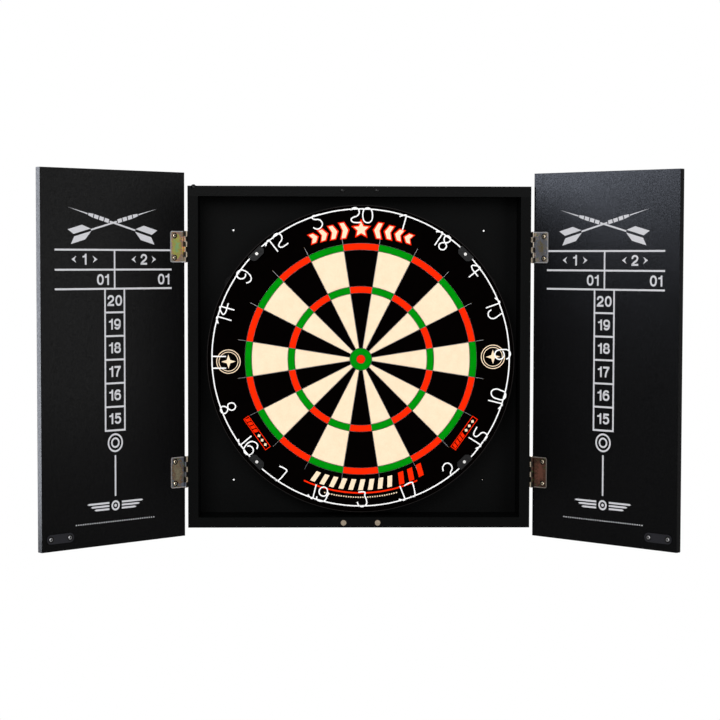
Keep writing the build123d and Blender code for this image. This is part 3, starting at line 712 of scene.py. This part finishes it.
def printed_figures():
    """Plain sans figures about their own middle, with the width of each."""
    top, flat = cap_height / 2, cap_height / 2 - stroke
    six_tail = [(-4.3, -2.3), (-4.4, 0.2), (-3.9, 3.0), (-2.3, 5.4), (0.2, 6.25), (2.5, 5.8), (4.1, 4.0)]
    six = oval(-2.35, 4.35, 3.9) + pen(*six_tail)
    five_back = [(-4.2, flat), (-1.6, flat), (-2.3, 1.4), (-4.9, -0.4)]
    return {
        "0": (11.6, oval(0, 4.4, 6.25)),
        "1": (6.8, [[(3.4, -top), (3.4, top), (1.1, top), (0.2, 5.7), (-1.2, 4.9), (-3.4, 4.6),
                     (-3.4, 2.4), (0.6, 2.6), (0.6, -top)]]),
        "2": (11.6, [bar(-5.8, -top, 5.6, -flat)] + pen(
            (-4.4, 1.9), (-3.9, 4.2), (-2.2, 5.8), (0.1, 6.25), (2.5, 5.7), (4.1, 3.9), (4.0, 1.6),
            (2.4, -0.5), (-0.6, -2.5), (-3.2, -4.5), (-4.4, -6.6))),
        "5": (11.6, [bar(-4.2, flat, 5.2, top), five_back] + pen(
            (-3.8, 0.2), (-2.2, 1.5), (0.2, 2.0), (2.6, 1.3), (4.2, -0.7), (4.3, -3.0), (3.0, -5.3),
            (0.4, -6.25), (-2.4, -5.8), (-4.4, -3.6))),
        "6": (11.6, six),
        "7": (11.2, [bar(-5.4, flat, 5.4, top)] + pen((4.0, 5.4), (1.7, 2.4), (-0.4, -2.2), (-1.3, -top))),
        "8": (11.6, oval(3.35, 3.75, 2.9) + oval(-2.9, 4.4, 3.35)),
        "9": (11.6, [[(-x, -y) for x, y in outline] for outline in six]),
    }


figures = printed_figures()


def printed_number(number, x, y):
    """The outlines of a number, centred on a point."""
    width = sum(figures[digit][0] for digit in number) + figure_gap * (len(number) - 1)
    outlines, along = [], -width / 2
    for digit in number:
        reach, shapes = figures[digit]
        outlines += [moved(moved(outline, along + reach / 2), x, y) for outline in shapes]
        along += reach + figure_gap
    return outlines


print("printed figures", "".join(figures))


# %% Score table
def score_table():
    line, half, ladder_half, rows = 1.3, 102.0, 16.9, 6
    heads, games, ladder_top, ladder_foot = 155.8, 128.1, 101.2, -99.2
    head_row, head_offset, arrow_offset = 142.6, 51.8, 14
    game_row, bull_row = 114.2, -116.8
    stem_top, stem_foot = -134.5, -192.5
    shapes = [bar(-half, z - line, half, z + line) for z in (heads, games, ladder_top)]
    shapes.append(bar(-line, ladder_top + line, line, games - line))
    shapes.append(bar(-line, games + line, line, heads - line))
    cell = (ladder_top - ladder_foot) / rows
    for x in (-ladder_half, ladder_half):
        shapes.append(bar(x - line, ladder_foot - line, x + line, ladder_top - line))
    for row in range(1, rows + 1):
        z = ladder_top - cell * row
        shapes.append(bar(-ladder_half + line, z - line, ladder_half - line, z + line))
    for row in range(rows):
        shapes += printed_number(str(20 - row), 0, ladder_top - cell * (row + 0.5))
    arrow_head = [(0, 5), (8, 0), (0, -5), (3, 0)]
    for head, x in (("1", -head_offset), ("2", head_offset)):
        shapes += printed_number(head, x, head_row)
        for step in (-1, 1):
            shapes.append(moved(arrow_head, x + step * arrow_offset, head_row, 90 - step * 90))
    for x in (-20.3, 87.5):
        shapes += printed_number("01", x, game_row)
    bull_rings = arc_band(10.8, 13.3) + arc_band(4.9, 7.4)
    shapes += [moved(quad, 0, bull_row) for quad in bull_rings]
    shapes.append(bar(-line, stem_foot, line, stem_top))
    return shapes


table = score_table()
print("score table", len(table), "outlines")


# %% Door ornaments
def dart_outlines():
    """A dart that points along +x, about its own middle."""
    needle = [(46, -0.9), (80, 0), (46, 0.9)]
    grips = [bar(x, -2.7, x + 7.6, 2.7) for x in (8, 17.3, 26.6)]
    nose = [(35.9, -2.7), (44.5, -1.6), (44.5, 1.6), (35.9, 2.7)]
    shaft = bar(-40, -1.2, 6.4, 1.2)
    flights = [[(x, hand * y) for x, y in ((-40, 1.8), (-53, 10.5), (-78, 10.5), (-70, 1.8))]
               for hand in (-1, 1)]
    return [needle, nose, shaft, *grips, *flights]


def door_ornaments():
    """Crossed darts and, at the foot, a winged roundel over a row of beads. The upper dart is apart."""
    dart_row, foot_row, bead_row = 194, -206, -228.5
    lower_dart, upper_dart = ([moved(outline, -2, dart_row, turn) for outline in dart_outlines()]
                              for turn in (15, 165))
    foot = arc_band(4.6, 7.2) + [disc(2.2)]
    for step in (-1, 1):
        for rise, reach in ((4.4, 46), (0, 40), (-4.4, 34)):
            low, high = rise - 1.3, rise + 1.3
            wing = [(11, low), (reach, low), (reach + 3, rise), (reach, high), (11, high)]
            foot.append([(step * x, z) for x, z in wing])
    foot = [moved(outline, 0, foot_row) for outline in foot]
    beads = [moved(bar(-0.8, -0.8, 0.8, 0.8), x * 4.0, bead_row, 45) for x in range(-17, 18)]
    return lower_dart + foot + beads, upper_dart


ornaments, crossing_dart = door_ornaments()
print("ornaments", len(ornaments) + len(crossing_dart), "outlines")


# %% Lay the print on the doors
door_width, leaf_seat = 251.8 * mm, 2.8 * mm
lift = 0.02 * mm


def door_plane(side):
    """The middle of a door's inner face: x in reading direction, y up, z out of the face."""
    pin = Vector(joints[side + "_door_swing"]["pos_m"])
    along = door_along(side)
    outward = along.cross(Vector((0, 0, hands[side])))
    middle = pin - outward * (leaf_seat - lift) + along * door_width / 2
    turn = Matrix((along * hands[side], Vector((0, 0, 1)), outward)).transposed().to_4x4()
    return Matrix.Translation(middle) @ turn


for side in sides:
    for name, outlines, thickness in (("_score_print", table + ornaments, 0.06),
                                      ("_crossing_dart", crossing_dart, 0.10)):
        mesh = ink_mesh(side + name, outlines, thickness)
        mesh.transform(door_plane(side))
        add_piece(side + name, mesh, "print_ink", side + "_door")
print("printed both doors")

# %% [markdown]
# ## Print on the board
# The black surround of the board carries ornaments in cream and red between the double ring and the
# wire numbers. They are plain stars, chevrons and stripes, laid out on circles round the bull.

# %% Marks at the top
low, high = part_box("number_field")
board_middle = (low + high) / 2
board_face = low.y


def facing_player(middle, y):
    """A plane that looks at the player: x to the right, y up, at a depth."""
    return Matrix.Translation((middle.x, y, middle.z)) @ Matrix.Rotation(math.radians(90), 4, "X")


def chevron(height, edge=0.0):
    """A flight-shaped chevron that points right, grown by an edge."""
    h = height / 2 + edge
    return [(-5 - 1.6 * edge, h), (1 + 0.7 * edge, h), (6 + 1.5 * edge, 0), (1 + 0.7 * edge, -h),
            (-5 - 1.6 * edge, -h), (-1.5 - 1.0 * edge, 0)]


top_radius = 190
red_marks = [on_circle(star(15.5, 0.5), top_radius, 0)]
cream_marks = [on_circle(star(11.5, 0.46), top_radius, 0)]
for index, angle in enumerate((7.6, 12.4, 17.0, 21.4)):
    height = 22 - 3.0 * index
    for step in (-1, 1):
        for marks, edge in ((red_marks, 1.6), (cream_marks, 0.0)):
            outline = [(-step * x, y) for x, y in chevron(height, edge)]
            marks.append(on_circle(outline, top_radius, step * angle))
print("marks at the top", len(red_marks) + len(cream_marks))

# %% Marks at the foot and the sides
foot_radius, plaque_radius, medal_radius, bead_radius = 185, 187, 194, 203.5
cream_slant = [(-5.5, -8), (1.5, -8), (5.5, 8), (-1.5, 8)]
red_slant = [(-5.5, -9), (2.5, -9), (6.5, 9), (-1.5, 9)]
bead = bar(-0.9, -0.9, 0.9, 0.9)
cream_marks += [on_circle(cream_slant, foot_radius, 201 - 4.3 * index) for index in range(9)]
red_marks += [on_circle(red_slant, foot_radius, 161.0 - 4.6 * index) for index in range(3)]
red_marks += arc_band(196.0, 198.2, 155, 205)
cream_marks += [on_circle(bead, bead_radius, 195 - index) for index in range(31)]

plaque = [bar(-28, -4.8, 28, -3.8), bar(-28, 3.8, 28, 4.8), bar(-28, -3.8, -27, 3.8), bar(27, -3.8, 28, 3.8)]
plaque += [[(x - 3.4, -3), (x + 1.4, -3), (x + 3.4, 3), (x - 1.4, 3)] for x in (4.0, 10.4, 16.8, 23.2)]
diamonds = [moved([(0, 2.6), (2.6, 0), (0, -2.6), (-2.6, 0)], x) for x in (-21, -13, -5)]
for angle in (125.5, 234.5):
    red_marks += [on_circle(outline, plaque_radius, angle) for outline in plaque]
    cream_marks += [on_circle(outline, plaque_radius, angle) for outline in diamonds]

medal = arc_band(16.6, 17.8) + arc_band(13.4, 14.4) + [star(10.5, 0.34, 4)]
for angle in (88.9, 268.9):
    cream_marks += [on_circle(outline, medal_radius, angle) for outline in medal]
print("board marks", len(red_marks), "red and", len(cream_marks), "cream")

# %% Lay the print on the board
for name, marks, finish, thickness in (("red_board_print", red_marks, "red_sisal", 0.08),
                                       ("cream_board_print", cream_marks, "cream_sisal", 0.14)):
    mesh = ink_mesh(name, marks, thickness)
    mesh.transform(facing_player(board_middle, board_face - lift))
    add_piece(name, mesh, finish, "dartboard")
    print(name, len(mesh.polygons), "faces")

# %% [markdown]
# ## Blade wires
# The beds are parted by blades: thin steel strips whose edge faces the player and whose sides slope
# away, so a dart slides off into a bed. Flat strips would show as pale lines. With sloping sides the
# steel mirrors the dyed beds beside it and nearly vanishes, as it does on a real board. The section
# is four points wide, swept along each spoke and round each ring.

# %% Blade sections
bed_count, bed_angle = 20, 18
blade_foot, blade_root = 0.48, 0.8
blade_edge, tail_edge, ring_edge = 0.09, 0.15, 0.02
low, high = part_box("spider")
blade_height = (board_face - low.y) / mm
spoke_start, spoke_bend, spoke_end = 16.2, 171.0, (high.x - low.x) / 2 / mm
ring_radii = (6.5, 16.2, 97.0, 107.0, 160.0, 170.0)


def blade_section(height=1.0, edge=blade_edge):
    """The blade's outline, left to right: its foot below the beds, and its edge."""
    top = blade_height * height
    return [(-blade_foot, -blade_root), (-edge, top), (edge, top), (blade_foot, -blade_root)]


def strip(work, first, second, finish=0):
    """A band of faces between two loops with as many corners."""
    for i in range(len(first)):
        work.faces.new((first[i - 1], first[i], second[i], second[i - 1])).material_index = finish


def sweep(work, stations, closed):
    """Joins neighbouring sections into one skin."""
    rings = [[work.verts.new([value * mm for value in spot]) for spot in station] for station in stations]
    for first, second in zip(rings, rings[1:] + rings[:1] if closed else rings[1:]):
        strip(work, first, second)
    if not closed:
        work.faces.new(rings[0])
        work.faces.new(rings[-1][::-1])


def ring_stations(radius):
    section = blade_section(edge=ring_edge)
    return [[((radius + across) * s, (radius + across) * c, up) for across, up in section]
            for c, s in disc(1.0, 120)]


def spoke_stations(angle):
    sections = ((spoke_start, 1.0, blade_edge), (spoke_bend, 1.0, blade_edge),
                (spoke_bend + 2, 0.8, tail_edge), (spoke_end, 0.4, tail_edge))
    stations = []
    for along, height, edge in sections:
        outline = blade_section(height, edge)
        flat = on_circle([(across, along) for across, up in outline], 0, angle)
        stations.append([(x, y, up) for (x, y), (across, up) in zip(flat, outline)])
    return stations


# %% Sweep the blades
work = bmesh.new()
for radius in ring_radii:
    sweep(work, ring_stations(radius), True)
for index in range(bed_count):
    sweep(work, spoke_stations(bed_angle * (index + 0.5)), False)
blade_mesh = finished_mesh(work, "blade_wires")
blade_mesh.transform(facing_player(board_middle, board_face))
blade_wires = add_piece("blade_wires", blade_mesh, "blade_steel", "dartboard")
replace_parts(blade_wires, "spider")
print("blades stand", round(blade_height, 2), "mm proud")

# %% [markdown]
# ## Wire number ring
# The numbers are bent from the same white wire as the ring and welded to it. The CAD wire is square,
# so a round one takes its place. A curve with a bevel is the natural tool for wire: each figure is a
# few points on a Bezier line, and the bevel gives the wire its thickness. Figures in the upper half
# have their tops on the ring, and those in the lower half stand on it. The caps that close the open
# ends come loose from the wire, so corners that share a place are joined at the end.

# %% Wire figures
wire_radius = 1.05
ring_radius = 218.0
ring_turn = 1.0
number_order = (20, 1, 18, 4, 13, 6, 10, 15, 2, 17, 3, 19, 7, 16, 8, 11, 14, 9, 12, 5)
standing = (10, 15, 2, 17, 3, 19, 7, 16, 8)

# Each number sits a little off the middle of its bed, in millimetres along the reading direction.
number_shift = {20: 4.0, 1: -2.0, 18: -3.7, 4: -1.5, 13: -5.6, 6: -1.7, 10: 1.3, 15: 1.5, 2: 4.0, 17: -1.0,
                3: -1.8, 19: -1.6, 7: 0.0, 16: 1.8, 8: 6.4, 11: -2.9, 14: 3.5, 9: 0.0, 12: 1.5, 5: 4.0}
figure_gaps, usual_gap = {11: 16.8, 20: 3.6}, 5.0
plain_bars = {11: "II"}

# Points from the ring at y = 0 inwards, with y up as the figure is read. A trailing "closed" joins
# the ends.
hanging_figures = {
    "0": [(0, 1.2), (-5, -1.2), (-6.9, -7), (-6.9, -12.5), (-5, -18), (0, -20.4), (5, -18), (6.9, -12.5),
          (6.9, -7), (5, -1.2), "closed"],
    "1": [(-9.3, -3.6), (-4.8, -0.6), (-0.8, 1.0), (0.1, -0.6), (0.2, -4), (0.5, -21)],
    "I": [(0.4, 0.6), (0.2, -8), (0, -20.6)],
    "2": [(-7.3, -1.4), (-3.6, 1.2), (0, 1.8), (4, -0.2), (5.6, -4.2), (4.5, -8), (1.7, -10.6), (-3.4, -12.3),
          (-6.4, -15.4), (-4.5, -18.6), (0, -19.8), (7.3, -19.8)],
    "3": [(2.8, 0.2), (3.4, -3.6), (5.2, -9.2), (6.2, -15), (1.5, -20.6), (-4.6, -19.6), (-7.2, -14)],
    "4": [(0.7, -20.6), (0.1, -6), (-0.4, 0.6), (-1.4, 1.0), (-9, -4.2), (-10.2, -6.6), (-8.6, -8.4),
          (7.8, -9.2)],
    "5": [(8.6, 0.2), (2, 0.6), (-4.2, 0.4), (-4.6, -1.6), (-1, -4.8), (3.5, -6.3), (6.5, -9.8), (6.8, -14.2),
          (3.8, -18), (-1.4, -19.3), (-5.5, -17.3), (-7.5, -14.8)],
    "6": [(-4.9, -9.4), (0, -7.5), (4.9, -9.4), (6.9, -14.3), (4.9, -19.2), (0, -21.1), (-4.9, -19.2),
          (-6.9, -14.3), (-7.2, -9), (-6.5, -2.4), (-1.6, 1.6), (4.3, -0.6), (7.2, -4.5)],
    "8": [(0.2, -9.2), (4.6, -11.6), (5.6, -15.2), (3.6, -19.4), (-1.6, -20.4), (-5, -16.6), (-3.4, -11.8),
          (0.2, -9.2), (3.8, -6), (4.6, -1.8), (1.6, 1.4), (-2.6, 1.2), (-4.8, -2.4), (-3.4, -6.4), "closed"],
    "9": [(4.6, -9.2), (0, -11.2), (-4.7, -9.2), (-6.6, -4.6), (-4.7, 0), (0, 1.6), (4.9, -0.6), (7.2, -6.4),
          (7, -13), (4.6, -18.8), (-0.6, -21), (-6.5, -17.6)],
}
standing_figures = {
    "0": [(4.6, -0.4), (6.6, 7.6), (6.4, 14.6), (1.2, 19.8), (-4.9, 17.2), (-6.9, 8.2), (-4.6, -0.6),
          "closed"],
    "1": [(-0.9, 21), (0, 3.4), (0, 0.4), (-1, -0.9), (-4.8, 0.6), (-8.6, 3.0)],
    "2": [(-7.4, 11.8), (-3.4, 17.4), (3.8, 18.2), (7.3, 13), (5.8, 7.2), (-0.2, 3.2), (-1.4, -0.4)],
    "3": [(-4.6, 20.3), (4.2, 20.5), (5.4, 19.4), (4.9, 15.6), (7.2, 8.8), (7.4, 3.2), (2.2, -0.9),
          (-3.8, 0.6), (-6.4, 6)],
    "5": [(6.2, 19.8), (-3.6, 18.4), (-5.8, 17.2), (-6.6, 13), (-2.6, 10.6), (3.2, 9), (5.6, 4.2), (3, -0.4),
          (-2, -0.7), (-7.6, 0.3)],
    "6": [(6.7, 15.6), (2.5, 20.1), (-4.5, 18.6), (-7.6, 14.6), (-7.2, 5.4), (-3.2, -0.7), (4.8, -0.5),
          (7.7, 5), (4.8, 10.6), (-1.8, 10.9), (-5.4, 7)],
    "7": [(-8, 19.2), (3.6, 20.6), (5.3, 19.6), (5.2, 17.2), (3.4, 2.2), (2.4, 0), (-4.6, 0.6)],
    "8": [(0.2, 9.8), (-4.6, 11.6), (-5.8, 16), (-2.6, 20.8), (2.4, 20.6), (5, 16), (3.4, 11.8), (0.2, 9.8),
          (-3.8, 6), (-4.8, 2.2), (-1.6, -0.9), (3.6, -0.6), (6, 2.6), (4.2, 7), "closed"],
    "9": [(6.2, 13), (3.2, 19.4), (-2.4, 20.2), (-6.3, 16), (-5.6, 10.2), (-0.8, 7.2), (4.4, 9), (6.6, 14.4),
          (6.8, 8), (4.8, 1), (0.4, -0.8), (-5.6, -0.5), (-7.6, 4.2)],
}
print("figures", len(hanging_figures), "hanging and", len(standing_figures), "standing")


# %% Bend the wire
def bent_wire(curve, points, closed):
    spline = curve.splines.new("BEZIER")
    spline.bezier_points.add(len(points) - 1)
    for knot, (x, y) in zip(spline.bezier_points, points):
        knot.co = (x * mm, y * mm, 0)
        knot.handle_left_type = knot.handle_right_type = "AUTO"
    spline.use_cyclic_u = closed


wire = bpy.data.curves.new("number_wire", "CURVE")
wire.dimensions = "3D"
wire.resolution_u = 6
wire.bevel_depth = wire_radius * mm
wire.bevel_resolution = 3
wire.use_fill_caps = True
ring_knots = [on_circle([(0, 0)], ring_radius, 7.5 * index)[0] for index in range(48)]
bent_wire(wire, ring_knots, True)
for place, number in enumerate(number_order):
    upright = number in standing
    drawn = standing_figures if upright else hanging_figures
    shapes = [drawn[digit] for digit in plain_bars.get(number, str(number))]
    reaches = [[point[0] for point in shape if point != "closed"] for shape in shapes]
    gap = figure_gaps.get(number, usual_gap)
    width = sum(max(reach) - min(reach) for reach in reaches) + gap * (len(shapes) - 1)
    along = number_shift[number] - width / 2
    for shape, reach in zip(shapes, reaches):
        closed = shape[-1] == "closed"
        points = [point for point in shape if point != "closed"]
        points = [(x - min(reach) + along, y) for x, y in points]
        along += max(reach) - min(reach) + gap
        if upright:
            points = [(-x, -y) for x, y in points]
        bent_wire(wire, on_circle(points, ring_radius, bed_angle * place - ring_turn), closed)

print("wires", len(wire.splines))

# %% Lay the wire on the board
holder = add_object("number_wire", wire)
bpy.context.view_layer.update()
wire_mesh = bpy.data.meshes.new_from_object(holder.evaluated_get(bpy.context.evaluated_depsgraph_get()))
bpy.data.objects.remove(holder)
work = bmesh.new()
work.from_mesh(wire_mesh)
bmesh.ops.remove_doubles(work, verts=work.verts, dist=same_place)
work.to_mesh(wire_mesh)
work.free()
low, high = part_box("number_ring")
ring_middle = (low + high) / 2
wire_mesh.transform(facing_player(ring_middle, high.y - wire_radius * mm))
number_wire = add_piece("number_wire", wire_mesh, "white_coat", "dartboard")
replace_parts(number_wire, "number_ring")
print("number wire", len(wire_mesh.vertices), "corners")

# %% [markdown]
# ## Cross-headed screws
# CAD gives each screw a plain countersunk head. Here it is a raised head in a countersink of painted
# shade, with a cross recess: the head's top is filled between its rim and a cross-shaped opening whose
# walls lean in to a smaller floor. A boolean cut would do the same, but leaves untidy faces. The
# recess, the countersink and a thin ring round the head are painted shade. The places come from the
# CAD screws themselves, one loose shell for each.


# %% Find the screws
def shells(node):
    """The corners of each separate solid of a CAD piece, sorted by place so that each run agrees."""
    work = bmesh.new()
    work.from_mesh(nodes[node].data)
    bmesh.ops.remove_doubles(work, verts=work.verts, dist=same_place)
    left = dict.fromkeys(work.verts)
    found = []
    while left:
        todo = [left.popitem()[0]]
        shell = []
        while todo:
            corner = todo.pop()
            shell.append(corner.co.copy())
            for edge in corner.link_edges:
                other = edge.other_vert(corner)
                if other in left:
                    del left[other]
                    todo.append(other)
        found.append(shell)
    work.free()
    return sorted(found, key=lambda shell: [round(max(spot[axis] for spot in shell), 4)
                                            for axis in (2, 0, 1)])


# %% Screw shapes
# The recess, in shares of the head's radius.
mouth_reach, mouth_half, floor_reach, floor_half, recess = 0.57, 0.18, 0.40, 0.11, 0.45


def cross(reach, half, z):
    around = [(half, half), (half, reach), (-half, reach), (-half, half), (-reach, half),
              (-reach, -half), (-half, -half), (-half, -reach), (half, -reach), (half, -half),
              (reach, -half), (reach, half)]
    return [Vector((x, y, z)) for x, y in around]


def circle(radius, z):
    return [Vector((x, y, z)) for x, y in disc(radius, 36)]


def add_screw(work, head, shank, length, place):
    """Adds one raised-head screw that points down -z, carried to its place, in a countersink of painted
    shade.
    """
    def loop(corners):
        return [work.verts.new(place @ corner) for corner in corners]

    # Share of the head's radius and height in millimetres, from the ring of painted shade round the head to
    # its top.
    profile = [(1.28, 0.03), (1.0, 0.02), (0.80, -0.50), (0.78, -0.05), (0.72, 0.20), (0.62, 0.36)]
    shade_ring, sink, foot, *dome = [loop(circle(share * head, z * mm)) for share, z in profile]
    neck = loop(circle(shank, -0.1 * mm - (head - shank)))
    end, tip = loop(circle(shank, -length + 2 * mm)), work.verts.new(place @ Vector((0, 0, -length)))
    # Material 1 is painted shade: the ring round the head, the countersink and the cross recess.
    strip(work, shade_ring, sink, 1)
    strip(work, sink, foot, 1)
    for first, second in zip([foot] + dome, dome):
        strip(work, first, second)
    strip(work, neck, shade_ring, 1)
    strip(work, end, neck)
    for i in range(len(end)):
        work.faces.new((end[i], end[i - 1], tip))
    top = profile[-1][1] * mm
    mouth = loop(cross(mouth_reach * head, mouth_half * head, top))
    floor = loop(cross(floor_reach * head, floor_half * head, top - recess * head))
    strip(work, mouth, floor, 1)
    work.faces.new(floor[::-1]).material_index = 1
    edges = [work.edges.get((ring[i - 1], ring[i])) or work.edges.new((ring[i - 1], ring[i]))
             for ring in (dome[-1], mouth) for i in range(len(ring))]
    bmesh.ops.triangle_fill(work, use_beauty=True, use_dissolve=False, edges=edges)


# %% Place the screws
first_turn, turn_step, head_slice = 20, 47, 0.3 * mm


def off_axis(corner, centre, facing):
    """How far a corner is from a screw's axis."""
    return (corner - centre - facing * (corner - centre).dot(facing)).length


def cross_screws(node, outward, body, finish, sunk=0.0):
    """Stands for a CAD group of screws whose heads look along a direction or away from a middle."""
    work = bmesh.new()
    for index, shell in enumerate(shells(node)):
        facing = outward(shell) if callable(outward) else outward
        facing = facing.normalized()
        heights = [corner.dot(facing) for corner in shell]
        top, foot = max(heights), min(heights)
        head_corners = [corner for corner, h in zip(shell, heights) if top - h < head_slice]
        centre = sum(head_corners, Vector()) / len(head_corners)
        centre += facing * (top - sunk - centre.dot(facing))
        head = max(off_axis(corner, centre, facing) for corner in head_corners)
        shank = max(off_axis(corner, centre, facing) for corner, h in zip(shell, heights)
                    if h < foot + 0.5 * (top - foot))
        place = Matrix.Translation(centre) @ facing.to_track_quat("Z", "Y").to_matrix().to_4x4()
        place = place @ Matrix.Rotation(math.radians(first_turn + turn_step * index), 4, "Z")
        add_screw(work, head, shank, top - foot - sunk, place)
    mesh = finished_mesh(work, node + "_crossed")
    piece = add_piece(node + "_crossed", mesh, finish, body)
    # The second material paints shade into the countersinks and the cross recesses.
    mesh.materials.append(finishes["dark_oxide"])
    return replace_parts(piece, node)


# %% Drive the screws
for side in sides:
    outward = door_plane(side).to_3x3().col[2]
    screws = cross_screws(side + "_door_hinge_screws", outward, side + "_door", "pale_zinc")
    screws = cross_screws(side + "_strike_screws", outward, side + "_door", "grey_zinc")


def away_from_middle(shell):
    return Vector((1 if shell[0].x > 0 else -1, 0, 0))


cross_screws("frame_hinge_screws", away_from_middle, "cabinet", "pale_zinc")
backward, forward = Vector((0, 1, 0)), Vector((0, -1, 0))
cross_screws("back_panel_screws", backward, "cabinet", "bright_zinc", 0.4 * mm)
cross_screws("bracket_screws", forward, "cabinet", "bright_zinc")

# %% [markdown]
# ## Wall holes
# A drill leaves a ragged rim of fibre and paint inside a hole in hardboard, so less light comes
# through than the hole's size would let in. The lower right hole is nearly choked. Each rim is a
# small lathe of uneven radius, inside the panel's thickness.

# %% Hole rims
low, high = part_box("back_panel")
hole_spacing, hole_radius = 372.0 * mm, 2.5 * mm
panel_middle = (low + high) / 2
panel_depth = high.y - low.y
rim_corners = 32
# Corners of the rim's section: share of the way out to the hole's wall, share of the panel's depth.
rim_section = ((1.0, 0.25), (1.0, 0.65), (0.0, 0.65), (0.0, 0.45))
# Side, level and the opening's radius in millimetres.
openings = ((-1, 1, 1.45), (1, 1, 1.35), (-1, -1, 1.35), (1, -1, 0.45))
work = bmesh.new()
for right, up, opening in openings:
    hole_x, hole_z = panel_middle.x + right * hole_spacing / 2, panel_middle.z + up * hole_spacing / 2
    rings = []
    for share, depth in rim_section:
        ring = []
        for i in range(rim_corners):
            angle = 2 * math.pi * i / rim_corners
            waves = 0.10 * math.sin(3 * angle + right) + 0.06 * math.sin(7 * angle + up)
            ragged = opening * mm * (1 + waves)
            radius = ragged + (0.99 * hole_radius - ragged) * share
            ring.append(work.verts.new((hole_x + radius * math.cos(angle), low.y + depth * panel_depth,
                                        hole_z + radius * math.sin(angle))))
        rings.append(ring)
    for first, second in zip(rings, rings[1:] + rings[:1]):
        strip(work, first, second)
rim_mesh = finished_mesh(work, "hole_rims")
add_piece("hole_rims", rim_mesh, "panel_paint", "cabinet")
print("hole rims", len(rim_mesh.vertices), "corners")
